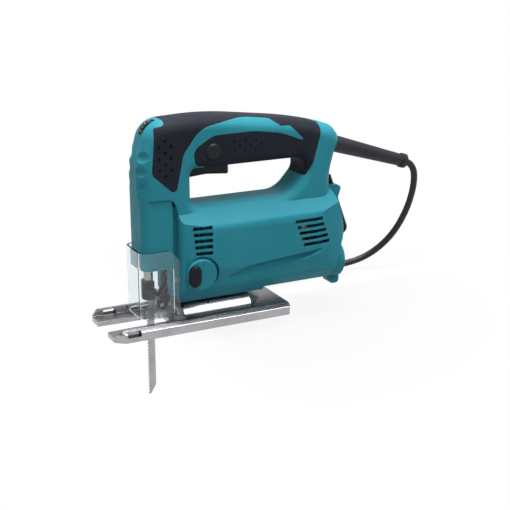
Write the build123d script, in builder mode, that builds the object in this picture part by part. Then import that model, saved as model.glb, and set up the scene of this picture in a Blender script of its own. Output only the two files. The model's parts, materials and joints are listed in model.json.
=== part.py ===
"""Corded top-handle jigsaw with orbital action, modelled as its separate pieces.

Millimetres, +Z up. The origin is where the blade's axis meets the sole of the shoe,
+X runs to the rear, where the cord leaves, and -Y is the user's left side.
"""

import os
from math import cos, pi, radians, sin, sqrt, tan

from build123d import *

os.makedirs("parts", exist_ok=True)

# Clearances
RUN_GAP = 0.05  # radial, a shaft or pin that turns or slides in its bore
SEAT_GAP = 0.02  # round a piece that sits in a pocket
FREE_GAP = 0.4  # between pieces that move past each other
LONG = 400.0  # longer than the tool, for cuts that go right through

# Housing shell
WALL = 2.6
HANDLE_HALF = 20.5  # half width of the nose, the top bar and the rear leg
HANDLE_ROUND = 13.0
HANDLE_LOW_Z = 92.0
HANDLE_FRONT_X = -11.5
LOOP_ROUND = 9.0
LOOP_FRONT_X = 38.5
LOOP_TOP_Z = 148.5
INNER_BEVEL = 0.67  # bevel of the edges inside, as a share of the rounding that they stand for
GRIP_THICK = 1.5
SCOOP_R = 9.0  # finger scoops down the corners of the nose
SCOOP_DEEP = 1.1
SCOOP_TURN = 30.0  # from straight ahead
SCOOP_HIGHS = (137.5, 151.5, 165.5)
SCOOP_FRONTS = (-11.5, -10.4, -8.0)
BODY_HALF = 31.5
BODY_FRONT_X = 24.0
BODY_FRONT_HALF = 26.0
BODY_TOP_Z = 114.0
BODY_LOW_Z = 20.0
BODY_STEP_X = 113.0
BODY_STEP_Z = 25.0
COLUMN_FRONT_X = -10.5
COLUMN_REAR_X = 18.6
COLUMN_HALF = 19.0
COLUMN_ROUND = 8.0
COLUMN_LOW_Z = 58.0
ARCH_Z = 124.0  # underside of the nose, above the column
NECK_HALF = 16.5  # web between the column and the body
NECK_FRONT_X = 16.0
NECK_LOW_Z = 30.0
PORT_Z = 38.5
PORT_R = 19.5
PORT_NECK_R = 18.2
PORT_FLARE_X = 186.0
PORT_LIP_X = 197.0
PORT_LIP_BEVEL = 1.2
PORT_FRONT_X = 150.0
PORT_REAR_X = 204.0

# Drive: motor along X, crank gear above it, slider rod along the blade's axis
CRANK_Z = 92.0
CRANK_R = 9.0  # half of the stroke
GEAR_MODULE = 0.9
PINION_TEETH = 8
GEAR_TEETH = 50
MOTOR_Z = CRANK_Z - GEAR_MODULE * (PINION_TEETH + GEAR_TEETH) / 2
GEAR_X = 29.0
GEAR_THICK = 8.0
GEAR_PIN_R = 4.0
SHAFT_R = 4.0
SHAFT_REAR_R = 3.5
SHAFT_STEP_X = 158.0
ROD_R = 4.5
ROD_LOW_Z = 44.0
ROD_TOP_Z = 156.0
GUIDE_R = 8.0
LOW_GUIDE_Z = 58.0
TOP_GUIDE_Z = 136.0
GUIDE_LONG = 10.0
YOKE_HALF = 15.8
YOKE_TALL = 16.0
YOKE_FRONT_X = 3.5
YOKE_REAR_X = 10.0
CRANK_PIN_R = 4.0
FRONT_BEARING_X = 46.0
FRONT_BEARING_R = 11.0
FRONT_BEARING_WIDE = 7.0
REAR_BEARING_X = 168.0
REAR_BEARING_R = 9.5
REAR_BEARING_WIDE = 6.0
STATOR_R = 27.2
STATOR_BORE_R = 19.2
CORE_R = 18.5
CORE_X = 86.0
CORE_LONG = 34.0
FAN_X = 58.0
FAN_R = 25.0
FAN_WIDE = 11.0
FAN_BLADES = 11
COMMUTATOR_X = 140.0
COMMUTATOR_R = 11.0
COMMUTATOR_LONG = 13.0
BRUSH_HALF_X = 3.0
BRUSH_HALF_Z = 4.0
RIB = 3.0
RIB_PIN_X = 41.0

# Blade and what holds it
BLADE_FRONT_X = -2.5
BLADE_REAR_X = 5.0
BLADE_THICK = 1.2
BLADE_TIP_Z = -72.0
BLADE_TOP_Z = ROD_LOW_Z - 2.0
TOOTH_PITCH = 3.2
TOOTH_DEEP = 1.9
CLAMP_R = 8.0
CLAMP_LOW_Z = 26.0
CLAMP_REAR_X = 3.5  # flat that passes in front of the guide roller
CLAMP_SCREW_R = 4.4
ROLLER_R = 6.0
ROLLER_WIDE = 6.0
ROLLER_Z = 19.0
FORK_PIN_X = 22.0
FORK_PIN_Z = 46.0
PIN_R = 2.0
FORK_PLATE = 2.4

# Shoe
SHOE_FRONT_X = -46.0
SHOE_REAR_X = 132.0
SHOE_HALF = 38.0
SHOE_TALL = 10.9
SHOE_EDGE_Z = 8.0
SHOE_SKIN = 2.5
RAIL_WIDE = 8.0
SHELF_Z = 4.5
SHELF_REAR_X = 26.0
NOTCH_HALF = 12.0
NOTCH_REAR_X = 17.0
HUMP_R = 22.8
HUMP_FRONT_X = 28.0
HUMP_SLOPE_X = 98.0
HUMP_REAR_X = 114.0
HUMP_END_R = 12.5
FENCE_SLOT_X = -28.6
FENCE_SLOT_LONG = 13.0
FENCE_SLOT_TALL = 5.0
SHOE_TRAVEL = 22.0
SHOE_TILT = 15.0
SADDLE_THICK = 2.5
SADDLE_FRONT_X = 23.0
SADDLE_REAR_X = 88.0
SADDLE_FOOT = 6.0  # its front end reaches lower than the rest
SADDLE_FOOT_Z = 17.9
SADDLE_LOW_Z = 21.6
BOLT_X = 66.0
BOLT_R = 3.0
BOLT_HEAD_R = 5.0
BOLT_BOSS_R = 7.0
BOLT_TOP_Z = 37.0
WASHER_THICK = 2.6
WASHER_LONG = 18.0

# Clear dust cover
COVER_WALL = 2.2
COVER_FRONT_X = -14.8
COVER_REAR_X = 23.4
COVER_LOW_Z = 12.0
COVER_TOP_Z = 76.0
COVER_ROUND = 9.0
COVER_HALF = COLUMN_HALF + RUN_GAP + COVER_WALL

# Controls
DIAL_X = 42.5
DIAL_Z = 51.3
DIAL_R = 15.0
DIAL_GAP = 2.2
DIAL_FACE_Y = -31.0
DIAL_THICK = 3.4
DIAL_BACK_Y = -25.5
DIAL_SHAFT_R = 6.0
LEVER_X = -8.0  # from the dial's axis
LEVER_HALF = 6.2
LEVER_TALL = 13.0
LEVER_THICK = 4.0
SWITCH_X = 47.0
SWITCH_LONG = 46.0
SWITCH_HALF = 8.4
SWITCH_LOW_Z = 162.5
SWITCH_TALL = 18.0
TRIGGER_X = 39.5
TRIGGER_REAR_X = 81.0
TRIGGER_HALF = 8.0
TRIGGER_LOW_Z = 138.5
TRIGGER_TOP_Z = 156.5
TRIGGER_BEVEL = 2.0
TRIGGER_FLANGE = 2.0
LOCK_X = 60.0
LOCK_Z = 164.0
LOCK_R = 7.6
LOCK_TRAVEL = 3.0
WHEEL_X = 8.0
WHEEL_Z = 182.5
WHEEL_R = 11.0
WHEEL_WIDE = 7.0

# Cord guard and hex wrench at the rear
GUARD_X = 197.0
GUARD_Z = 155.7
GUARD_END_X = 283.0
GUARD_END_Z = 128.9
GUARD_BASE_R = 8.2
GUARD_TIP_R = 6.2
GUARD_BORE_R = 3.45
GUARD_BOSS_R = 12.0
GUARD_BOSS_IN = 7.0
GUARD_BOSS_OUT = -2.0
GUARD_COLLAR = 3.0
SHORT_LEG_X = 193.0
WRENCH_TOP = (193.5, 123.8)
WRENCH_LOW = (216.0, 63.0)
WRENCH_FLATS = 4.0

# Cord
CORD_D = 6.8
CORD_SIDES = 6
COIL_TURNS = 3
COIL_PITCH = 7.4
COIL_OUT_R = 52.0
COIL_X = 168.0
COIL_Y = 112.0
COIL_LOW_Z = 4.8
TIE_THICK = 1.2
TIE_WIDE = 9.0
PLUG_REAR_X = 90.0
PLUG_Z = 7.0
PLUG_LONG = 36.0
PLUG_WIDE = 35.0
PLUG_TALL = 13.6
PLUG_PIN_R = 2.0
PLUG_PIN_LONG = 19.0
PLUG_PIN_APART = 18.6
COIL_NEAR_Y = COIL_Y - COIL_OUT_R
COIL_TOP_Z = COIL_LOW_Z + COIL_PITCH
# Corners of the free stretches: from the guard down to the bench behind the tool, then on to the plug
LEAD_ROUTE = [
    (GUARD_END_X, 0.0, GUARD_END_Z),
    (293.5, 0.0, 125.63),
    (300.0, 3.0, 106.0),
    (302.0, 17.0, 72.0),
    (297.0, 38.0, 36.0),
    (275.0, 52.0, 12.0),
    (243.0, 58.0, 5.2),
    (207.0, COIL_NEAR_Y, COIL_LOW_Z),
    (COIL_X + CORD_D, COIL_NEAR_Y, COIL_LOW_Z),
]
TAIL_ROUTE = [
    (COIL_X - CORD_D, COIL_NEAR_Y, COIL_TOP_Z),
    (138.0, COIL_NEAR_Y, COIL_TOP_Z),
    (112.0, COIL_NEAR_Y, PLUG_Z),
    (PLUG_REAR_X, COIL_NEAR_Y, PLUG_Z),
]

# Handle outline in the XZ plane: each corner and its rounding
HANDLE_OUTLINE = [
    ((HANDLE_FRONT_X, HANDLE_LOW_Z), 0.0),
    ((HANDLE_FRONT_X, 156.0), 60.0),
    ((0.0, 194.5), 22.0),
    ((60.0, 197.5), 300.0),
    ((150.0, 186.5), 400.0),
    ((199.0, 174.0), 16.0),
    ((187.0, 130.0), 60.0),
    ((188.0, HANDLE_LOW_Z), 0.0),
]
LOOP_OUTLINE = [
    ((LOOP_FRONT_X, BODY_TOP_Z), 6.0),
    ((140.0, BODY_TOP_Z), 26.0),
    ((160.0, 136.0), 12.0),
    ((155.0, LOOP_TOP_Z), 8.0),
    ((LOOP_FRONT_X, LOOP_TOP_Z), 6.0),
]
BODY_OUTLINE = [
    ((BODY_FRONT_X, BODY_LOW_Z), 3.0),
    ((BODY_STEP_X, BODY_LOW_Z), 0.0),
    ((BODY_STEP_X, BODY_STEP_Z), 0.0),
    ((184.0, BODY_STEP_Z), 6.0),
    ((196.0, 58.0), 4.0),
    ((203.0, 70.0), 5.0),
    ((191.0, 103.0), 10.0),
    ((188.0, BODY_TOP_Z), 0.0),
    ((BODY_FRONT_X, BODY_TOP_Z), 3.0),
]
# Half section of the body in the YZ plane, mirrored to the other side
BODY_SECTION = [
    ((13.0, BODY_LOW_Z), 5.0),
    ((26.5, 36.0), 18.0),
    ((BODY_HALF, 54.0), 18.0),
    ((BODY_HALF, 95.0), 14.0),
    ((20.0, 109.0), 10.0),
    ((14.0, BODY_TOP_Z), 6.0),
]
# Half plan of the body in the XY plane, mirrored to the other side
BODY_PLAN = [
    ((BODY_FRONT_X, BODY_FRONT_HALF), 5.0),
    ((56.0, BODY_HALF), 60.0),
    ((166.0, BODY_HALF), 60.0),
    ((204.0, 22.0), 16.0),
]
# Underside of the nose, under which the column stands back
ARCH_OUTLINE = [
    ((-30.0, 40.0), 0.0),
    ((-30.0, ARCH_Z), 0.0),
    ((20.0, ARCH_Z), 9.0),
    ((BODY_FRONT_X + 0.5, ARCH_Z - 16), 0.0),
    ((BODY_FRONT_X + 0.5, 40.0), 0.0),
]
# Where the soft grip covers the handle, in the XZ plane
GRIP_OUTLINE = [
    ((14.0, 210.0), 0.0),
    ((14.0, 191.5), 4.0),
    ((3.5, 189.0), 3.0),
    ((-1.0, 148.0), 7.0),
    ((22.0, 127.0), 4.0),
    ((30.0, 164.0), 14.0),
    ((47.0, 186.5), 26.0),
    ((88.0, 193.0), 80.0),
    ((119.0, 189.0), 8.0),
    ((130.0, 181.5), 3.0),
    ((139.0, 181.5), 8.0),
    ((156.0, 165.0), 1.0),
    ((129.0, 175.5), 60.0),
    ((101.0, 179.5), 60.0),
    ((60.0, 179.0), 20.0),
    ((39.5, 167.0), 10.0),
    ((41.5, 152.0), 7.0),
    ((52.0, 150.5), 0.0),
    ((52.0, 130.0), 0.0),
    ((158.0, 131.0), 3.0),
    ((164.0, 142.0), 20.0),
    ((172.5, 172.0), 20.0),
    ((172.5, 210.0), 0.0),
]
SCREWS = [(16.0, 128.5), (176.0, 173.0), (181.0, 104.0), (134.0, 34.0), (112.0, 103.0), (62.0, 103.0)]
SCREW_R = 1.6
SCREW_HEAD_R = 3.4
SCREW_SEAT_Y = 12.0
BOSS_R = 5.0

VENTS = 5
VENT_PITCH = 6.0
VENT_TALL = 3.6
FRONT_VENT_X = 37.5
FRONT_VENT_Z = 69.5
FRONT_VENT_LONG = 16.0
FRONT_VENT_SHIFT = 0.7
REAR_VENT_X = 149.0
REAR_VENT_Z = 64.0
REAR_VENT_LONG = 30.5
REAR_VENT_SHIFT = 2.3
VENT_IN_Y = 24.0
SIDE_OUT_Y = 40.0  # outside of both flanks
# Curved recess along each flank, in the XZ plane
FLANK_OUTLINE = [
    ((70.0, 45.0), 0.0),
    ((92.0, 54.0), 40.0),
    ((172.0, 60.0), 0.0),
    ((150.0, 53.5), 30.0),
    ((120.0, 48.5), 60.0),
]
# Floor of that recess: through a point on its upper edge, sloping in towards its lower edge
FLANK_FLOOR = (120.0, -31.4, 56.1)
FLANK_RUN = Vector(102.0, 0.0, 15.0)
FLANK_SLOPE = 22.0
FLANK_BACK_Y = 26.4
FLANK_BACK_OUTLINE = [
    ((66.0, 40.0), 0.0),
    ((178.0, 40.0), 0.0),
    ((178.0, 64.0), 0.0),
    ((153.5, 64.0), 0.0),
    ((153.5, 59.5), 0.0),
    ((130.0, 59.5), 0.0),
    ((130.0, 58.0), 0.0),
    ((66.0, 58.0), 0.0),
]
PINION_ROOT_R = 2.4
PINION_TIP_R = 4.4
GEAR_ROOT_R = 21.2
GEAR_TIP_R = 23.2
SLOTS = 12
WINDING_R = 16.0
WINDING_LONG = 9.0
WINDING_BEVEL = 2.5
COIL_OVERHANG = 8.0
WHEEL_NOTCHES = 18
WHEEL_NOTCH = 0.8
HOLDER_OUTLINE = [
    ((184.8, 100.0), 0.0),
    ((201.0, 100.0), 2.0),
    ((205.0, 112.0), 3.0),
    ((200.0, 115.0), 2.0),
    ((184.8, 115.0), 0.0),
]
HOLDER_HALF = 6.0
FOOT_OUTLINE = [
    ((186.0, 26.0), 0.0),
    ((195.0, 12.0), 5.0),
    ((204.5, 11.5), 4.0),
    ((204.5, 24.0), 0.0),
]
FOOT_HALF = 6.0
PIPE_X = 158.0
PIPE_BORE_R = 14.2

nodes = {}


def outline(points):
    """Closed outline with a rounding at each corner, for the sketch that calls it."""
    with BuildLine() as line:
        FilletPolyline(*[p for p, _ in points], radius=[r for _, r in points], close=True)
    make_face(line.edges())


def half_outline(points, start, stop):
    """Outline from an axis, round one side and back to the axis."""
    with BuildLine() as line:
        FilletPolyline(start, *[p for p, _ in points], stop, radius=[r for _, r in points])
        Line(stop, start)
    make_face(line.edges())


def grow(amount):
    """Offset the sketch that calls it, where there is anything to offset."""
    if amount:
        offset(amount=amount, mode=Mode.REPLACE)


def soften(edges, radius, inset):
    """Round the outer edges; inside, where nothing shows, a bevel stands for the rounding."""
    if inset:
        chamfer(edges, INNER_BEVEL * (radius - inset))
    else:
        fillet(edges, radius)


def handle_form(inset):
    """The handle as a ring of the given inset from its outside, edges rounded for the hand."""
    with BuildPart() as form:
        with BuildSketch(Plane.XZ):
            outline(HANDLE_OUTLINE)
            grow(-inset)
        extrude(amount=HANDLE_HALF - inset, both=True)
        rim = form.faces().filter_by(Axis.Y).edges()
        soften(rim.filter_by(lambda e: e.center().Z > HANDLE_LOW_Z + inset + 1), HANDLE_ROUND, inset)
        with BuildSketch(Plane.XZ):
            outline(LOOP_OUTLINE)
            grow(inset)
        extrude(amount=LONG, both=True, mode=Mode.SUBTRACT)
        rim = form.faces().filter_by(Axis.Y).edges()
        loop = rim.filter_by(lambda e: LOOP_FRONT_X - 8 < e.center().X < 165 and 100 < e.center().Z < 152)
        soften(loop, LOOP_ROUND, inset)
        with BuildSketch(Plane.XZ):
            outline(ARCH_OUTLINE)
            grow(inset)
        extrude(amount=LONG, both=True, mode=Mode.SUBTRACT)
    return form.part


def body_form(inset):
    """The motor body: its side, end and top outlines, each drawn in by the inset, crossed."""
    with BuildPart() as form:
        with BuildSketch(Plane.XZ):
            outline(BODY_OUTLINE)
            grow(-inset)
        extrude(amount=2 * BODY_HALF, both=True)
        with BuildSketch(Plane.YZ):
            half_outline(BODY_SECTION, (0, BODY_LOW_Z), (0, BODY_TOP_Z))
            mirror(about=Plane.YZ)
            grow(-inset)
        extrude(amount=LONG, both=True, mode=Mode.INTERSECT)
        with BuildSketch(Plane.XY):
            half_outline(BODY_PLAN, (BODY_FRONT_X, 0), (204.0, 0))
            mirror(about=Plane.XZ)
            grow(-inset)
        extrude(amount=LONG, both=True, mode=Mode.INTERSECT)
        with BuildSketch(Plane.YZ.offset(BODY_FRONT_X - 5)):
            Circle(HUMP_R + SADDLE_THICK + 2 * RUN_GAP + inset)
        extrude(amount=BODY_STEP_X + inset - BODY_FRONT_X + 5, mode=Mode.SUBTRACT)
    return form.part


def column_form(inset):
    """Front column, the web that joins it to the body, and the tube of the dust outlet."""
    with BuildPart() as form:
        with BuildSketch(Plane.XY.offset(COLUMN_LOW_Z + inset)):
            half = COLUMN_HALF - inset
            outline(
                [
                    ((COLUMN_REAR_X - inset, -half), 0),
                    ((COLUMN_FRONT_X + inset, -half), COLUMN_ROUND - inset),
                    ((COLUMN_FRONT_X + inset, half), COLUMN_ROUND - inset),
                    ((COLUMN_REAR_X - inset, half), 0),
                ]
            )
        extrude(amount=ARCH_Z + 6 - COLUMN_LOW_Z - inset)
        with BuildSketch(Plane.XY.offset(NECK_LOW_Z + inset)):
            with Locations((NECK_FRONT_X + inset, 0)):
                Rectangle(20, 2 * (NECK_HALF - inset), align=(Align.MIN, Align.CENTER))
        extrude(amount=ARCH_Z - 8 - NECK_LOW_Z - 2 * inset)
        if inset:
            with BuildSketch(Plane.XY.offset(COLUMN_LOW_Z + inset)):
                with Locations((0, 0)):
                    Rectangle(30, 2 * (NECK_HALF - inset), align=(Align.MIN, Align.CENTER))
            extrude(amount=ARCH_Z - 8 - COLUMN_LOW_Z - 2 * inset)
        if inset:
            add(rod_x(PORT_FRONT_X, PORT_REAR_X - PORT_FRONT_X + 1, PORT_R - inset, PORT_Z))
        else:
            add(rod_x(PORT_FRONT_X, PORT_REAR_X - PORT_FRONT_X, PORT_NECK_R, PORT_Z))
            lip_z = PORT_Z + PORT_R
            with BuildSketch(Plane.XZ):
                Polygon(
                    (PORT_FLARE_X, PORT_Z),
                    (PORT_REAR_X, PORT_Z),
                    (PORT_REAR_X, lip_z - PORT_LIP_BEVEL),
                    (PORT_REAR_X - PORT_LIP_BEVEL, lip_z),
                    (PORT_LIP_X, lip_z),
                    (PORT_FLARE_X, PORT_Z + PORT_NECK_R),
                    align=None,
                )
            revolve(axis=Axis((0, 0, PORT_Z), (1, 0, 0)))
    return form.part


def rod_x(x, long, radius, z, y=0.0):
    """Cylinder along X, from x to the rear."""
    with BuildPart() as form:
        with BuildSketch(Plane.YZ.offset(x)):
            with Locations((y, z)):
                Circle(radius)
        extrude(amount=long)
    return form.part


def rod_y(x, z, radius, y_low, y_high):
    """Cylinder along Y, between two faces."""
    with BuildPart() as form:
        with BuildSketch(Plane.XZ.offset(-y_high)):
            with Locations((x, z)):
                Circle(radius)
        extrude(amount=y_high - y_low)
    return form.part


def rod_z(x, z_low, z_high, radius, y=0.0):
    """Cylinder along Z, between two faces."""
    with BuildPart() as form:
        with BuildSketch(Plane.XY.offset(z_low)):
            with Locations((x, y)):
                Circle(radius)
        extrude(amount=z_high - z_low)
    return form.part


def slab(x_low, x_high, y_low, y_high, z_low, z_high):
    """Block between its six faces."""
    with BuildPart() as form:
        with BuildSketch(Plane.XY.offset(z_low)):
            with Locations(((x_low + x_high) / 2, (y_low + y_high) / 2)):
                Rectangle(x_high - x_low, y_high - y_low)
        extrude(amount=z_high - z_low)
    return form.part


def side_prism(points, y_low, y_high):
    """Outline in the XZ plane, extruded between two Y faces."""
    with BuildPart() as form:
        with BuildSketch(Plane.XZ.offset(-y_high)):
            outline(points)
        extrude(amount=y_high - y_low)
    return form.part


def ring_x(x, long, radius, bore, z):
    """Ring along X."""
    with BuildPart() as form:
        with BuildSketch(Plane.YZ.offset(x)):
            with Locations((0, z)):
                Circle(radius)
                Circle(bore, mode=Mode.SUBTRACT)
        extrude(amount=long)
    return form.part


def toothed(teeth, root_r, tip_r, x, long, z, first_angle):
    """Straight-toothed wheel along X; the teeth are thin enough to leave backlash."""
    pitch = 2 * pi / teeth
    shape = [(-0.26, root_r), (-0.10, tip_r), (0.10, tip_r), (0.26, root_r)]
    points = []
    for tooth in range(teeth):
        for share, radius in shape:
            angle = radians(first_angle) + (tooth + share) * pitch
            points.append((radius * cos(angle), z + radius * sin(angle)))
    with BuildPart() as form:
        with BuildSketch(Plane.YZ.offset(x)):
            Polygon(*points, align=None)
        extrude(amount=long)
    return form.part


def bevelled(wide, tall, x, y):
    """Rectangle with its corners cut, for the sketch that calls it."""
    a = wide / 2
    b = tall / 2
    cut = b * 0.6
    corners = [(a - cut, -b), (a, cut - b), (a, b - cut), (a - cut, b)]
    corners += [(-u, v) for u, v in reversed(corners)]
    Polygon(*[(x + u, y + v) for u, v in corners], align=None)


def cord_radii(points):
    """Rounding at each corner of a cord's route: most of the shorter run beside it."""
    radii = []
    for before, corner, after in zip(points, points[1:], points[2:]):
        run_in = Vector(*corner) - Vector(*before)
        run_out = Vector(*after) - Vector(*corner)
        turn = radians(run_in.get_angle(run_out))
        radii.append(0.45 * min(run_in.length, run_out.length) / tan(turn / 2))
    return radii


def cord_tube(points):
    """Free stretch of cord along a rounded route."""
    with BuildPart() as form:
        with BuildLine() as route:
            FilletPolyline(*points, radius=cord_radii(points))
        with BuildSketch(Plane(origin=route.line @ 0, z_dir=route.line % 0)):
            RegularPolygon(CORD_D / 2, CORD_SIDES)
        sweep(path=route.line)
    return form.part


def flank_form():
    """Cutter for the left flank's recess, deepest along its lower edge."""
    slope = radians(FLANK_SLOPE)
    run = FLANK_RUN.normalized()
    downward = Vector(run.Z, 0, -run.X)
    with BuildPart() as form:
        add(side_prism(FLANK_OUTLINE, -SIDE_OUT_Y, -FLANK_BACK_Y - 1))
        floor = Plane(origin=FLANK_FLOOR, x_dir=run, z_dir=downward * sin(slope) - Vector(0, cos(slope), 0))
        split(bisect_by=floor, keep=Keep.TOP)
    return form.part


def nose_scoop(front_x, z, side):
    """Cutter for one finger scoop across the nose's rounded corner."""
    away = HANDLE_ROUND + SCOOP_R - SCOOP_DEEP
    ahead = cos(radians(SCOOP_TURN))
    aside = sin(radians(SCOOP_TURN))
    centre = (front_x + HANDLE_ROUND - away * ahead, side * (HANDLE_HALF - HANDLE_ROUND + away * aside), z)
    with BuildPart() as form:
        with BuildSketch(Plane(origin=centre, x_dir=(0, 0, 1), z_dir=(aside, side * ahead, 0))):
            Circle(SCOOP_R)
        extrude(amount=HANDLE_ROUND, both=True)
    return form.part


def save(name, part):
    """Keep a finished piece under its node's name."""
    part.label = name
    nodes[name] = part


# Places that several pieces share
guard_dir = Vector(GUARD_END_X - GUARD_X, 0, GUARD_END_Z - GUARD_Z).normalized()
guard_long = sqrt((GUARD_END_X - GUARD_X) ** 2 + (GUARD_END_Z - GUARD_Z) ** 2)
guard_plane = Plane(origin=(GUARD_X, 0, GUARD_Z), x_dir=(0, 1, 0), z_dir=guard_dir)
wrench_dir = Vector(WRENCH_LOW[0] - WRENCH_TOP[0], 0, WRENCH_LOW[1] - WRENCH_TOP[1]).normalized()
wrench_plane = Plane(origin=(WRENCH_TOP[0], 0, WRENCH_TOP[1]), x_dir=(0, 1, 0), z_dir=wrench_dir)

# Inside of the housing, kept clear of the dial's pocket and the flanks' recesses
outer_handle = handle_form(0)
with BuildPart() as hollow:
    add(handle_form(WALL))
    add(body_form(WALL))
    add(column_form(WALL))
    pocket_r = DIAL_R + DIAL_GAP
    add(rod_y(DIAL_X, DIAL_Z, pocket_r + 1.5, -SIDE_OUT_Y, DIAL_BACK_Y), mode=Mode.SUBTRACT)
    for side in (-1, 1):
        near, far = sorted((side * FLANK_BACK_Y, side * SIDE_OUT_Y))
        add(side_prism(FLANK_BACK_OUTLINE, near, far), mode=Mode.SUBTRACT)

# Ribs and bosses that hold what is in the housing

with BuildPart() as ribs:
    add(slab(RIB_PIN_X, RIB_PIN_X + RIB, -LONG, LONG, 60, BODY_TOP_Z))
    add(rod_x(RIB_PIN_X - 2.5, 8.0, GEAR_PIN_R + 4, CRANK_Z))
    add(slab(FRONT_BEARING_X, FRONT_BEARING_X + FRONT_BEARING_WIDE, -LONG, LONG, 50, BODY_TOP_Z))
    for x in (CORE_X + 1, CORE_X + CORE_LONG - 1 - RIB):
        add(slab(x, x + RIB, -LONG, LONG, BODY_LOW_Z, BODY_TOP_Z))
    add(slab(REAR_BEARING_X, REAR_BEARING_X + REAR_BEARING_WIDE, -LONG, LONG, 56.5, BODY_TOP_Z))
    for x in (SWITCH_X - RIB, SWITCH_X + SWITCH_LONG):
        add(slab(x, x + RIB, -LONG, LONG, LOOP_TOP_Z, 200))
    add(slab(HANDLE_FRONT_X, LOOP_FRONT_X, -LONG, LONG, TOP_GUIDE_Z + 1, TOP_GUIDE_Z + GUIDE_LONG - 1))
    add(slab(COLUMN_FRONT_X, COLUMN_REAR_X, -LONG, LONG, COLUMN_LOW_Z, LOW_GUIDE_Z + GUIDE_LONG))
    add(rod_z(BOLT_X, BODY_LOW_Z, BOLT_TOP_Z + 1, BOLT_BOSS_R))
    for x, z in SCREWS:
        add(rod_y(x, z, BOSS_R, -LONG, LONG))
    add(hollow.part, mode=Mode.INTERSECT)
    add(rod_x(RIB_PIN_X - 5, 30, SHAFT_R + 3, MOTOR_Z), mode=Mode.SUBTRACT)
    add(rod_x(FRONT_BEARING_X - 1, 20, FRONT_BEARING_R + SEAT_GAP, MOTOR_Z), mode=Mode.SUBTRACT)
    add(rod_x(CORE_X, CORE_LONG, STATOR_R + SEAT_GAP, MOTOR_Z), mode=Mode.SUBTRACT)
    add(rod_x(REAR_BEARING_X - 1, 20, REAR_BEARING_R + SEAT_GAP, MOTOR_Z), mode=Mode.SUBTRACT)

flank_left = flank_form()

# The soft grip is the outer layer of the handle inside its outline
with BuildPart() as grip:
    add(outer_handle)
    add(handle_form(GRIP_THICK), mode=Mode.SUBTRACT)
    add(side_prism(GRIP_OUTLINE, -LONG, LONG), mode=Mode.INTERSECT)

with BuildPart() as openings:
    add(rod_y(LOCK_X, LOCK_Z, LOCK_R + RUN_GAP, -40, -SWITCH_HALF))
    trigger_gap = TRIGGER_HALF + RUN_GAP
    add(slab(TRIGGER_X - RUN_GAP, TRIGGER_REAR_X + RUN_GAP, -trigger_gap, trigger_gap, 140, SWITCH_LOW_Z))
    wheel_gap = WHEEL_WIDE / 2 + FREE_GAP
    add(rod_y(WHEEL_X, WHEEL_Z, WHEEL_R + 2 * FREE_GAP, -wheel_gap, wheel_gap))

# Ducts, seats, sockets and slots that are cut from the shell
with BuildPart() as cuts:
    add(openings.part)
    add(rod_x(PORT_FRONT_X, PORT_REAR_X - PORT_FRONT_X + 1, PORT_R - WALL, PORT_Z))
    with BuildSketch(guard_plane.offset(-GUARD_BOSS_IN - 10)):
        Circle(GUARD_BASE_R + SEAT_GAP)
    extrude(amount=GUARD_BOSS_IN + GUARD_BOSS_OUT + 11)
    with BuildSketch(guard_plane.offset(-GUARD_BOSS_IN - 10)):
        Circle(GUARD_BASE_R + 2 + SEAT_GAP)
    extrude(amount=10)
    with BuildSketch(wrench_plane):
        with Locations((0, 8)):
            Rectangle(WRENCH_FLATS / cos(pi / 6) + 2 * RUN_GAP, 16 + WRENCH_FLATS + 2 * RUN_GAP)
    extrude(amount=40)
    add(rod_x(SHORT_LEG_X - 2, 20, WRENCH_FLATS / 2 + 1, WRENCH_LOW[1]))
    add(rod_x(GEAR_X, 30, GEAR_PIN_R + SEAT_GAP, CRANK_Z))
    add(rod_z(0, COLUMN_LOW_Z - 1, LOW_GUIDE_Z + GUIDE_LONG + 1, GUIDE_R + SEAT_GAP))
    add(rod_z(0, TOP_GUIDE_Z, TOP_GUIDE_Z + GUIDE_LONG, GUIDE_R + SEAT_GAP))
    add(rod_z(BOLT_X, BODY_LOW_Z, BOLT_TOP_Z + 2, BOLT_R + SEAT_GAP))
    add(slab(NECK_FRONT_X - 1, NECK_FRONT_X + WALL + 1, -8.4, 8.4, NECK_LOW_Z - 1, 56))
    add(slab(NECK_FRONT_X - 1, 27, -8.4, 8.4, NECK_LOW_Z - 1, 33))
    add(rod_y(FORK_PIN_X, FORK_PIN_Z, PIN_R + SEAT_GAP, -NECK_HALF - 1, NECK_HALF + 1))
    add(rod_y(DIAL_X, DIAL_Z, pocket_r, -SIDE_OUT_Y, DIAL_FACE_Y + DIAL_THICK + RUN_GAP))
    add(rod_y(DIAL_X, DIAL_Z, DIAL_SHAFT_R + RUN_GAP, -SIDE_OUT_Y, -15))
    for x, z in SCREWS:
        add(rod_y(x, z, SCREW_R + SEAT_GAP, -SCREW_SEAT_Y, SCREW_SEAT_Y))
        add(rod_y(x, z, SCREW_HEAD_R + FREE_GAP, SCREW_SEAT_Y, SIDE_OUT_Y))
    for side in (-1, 1):
        near, far = sorted((side * VENT_IN_Y, side * SIDE_OUT_Y))
        for i in range(VENTS):
            x = FRONT_VENT_X - i * FRONT_VENT_SHIFT
            z = FRONT_VENT_Z + i * VENT_PITCH
            add(slab(x, FRONT_VENT_X + FRONT_VENT_LONG, near, far, z, z + VENT_TALL))
            x = REAR_VENT_X - i * REAR_VENT_SHIFT
            z = REAR_VENT_Z + i * VENT_PITCH
            add(slab(x, x + REAR_VENT_LONG, near, far, z, z + VENT_TALL))
        add(flank_left if side < 0 else mirror(flank_left, about=Plane.XZ, mode=Mode.PRIVATE))
        for front, z in zip(SCOOP_FRONTS, SCOOP_HIGHS):
            add(nose_scoop(front, z, side))

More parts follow.
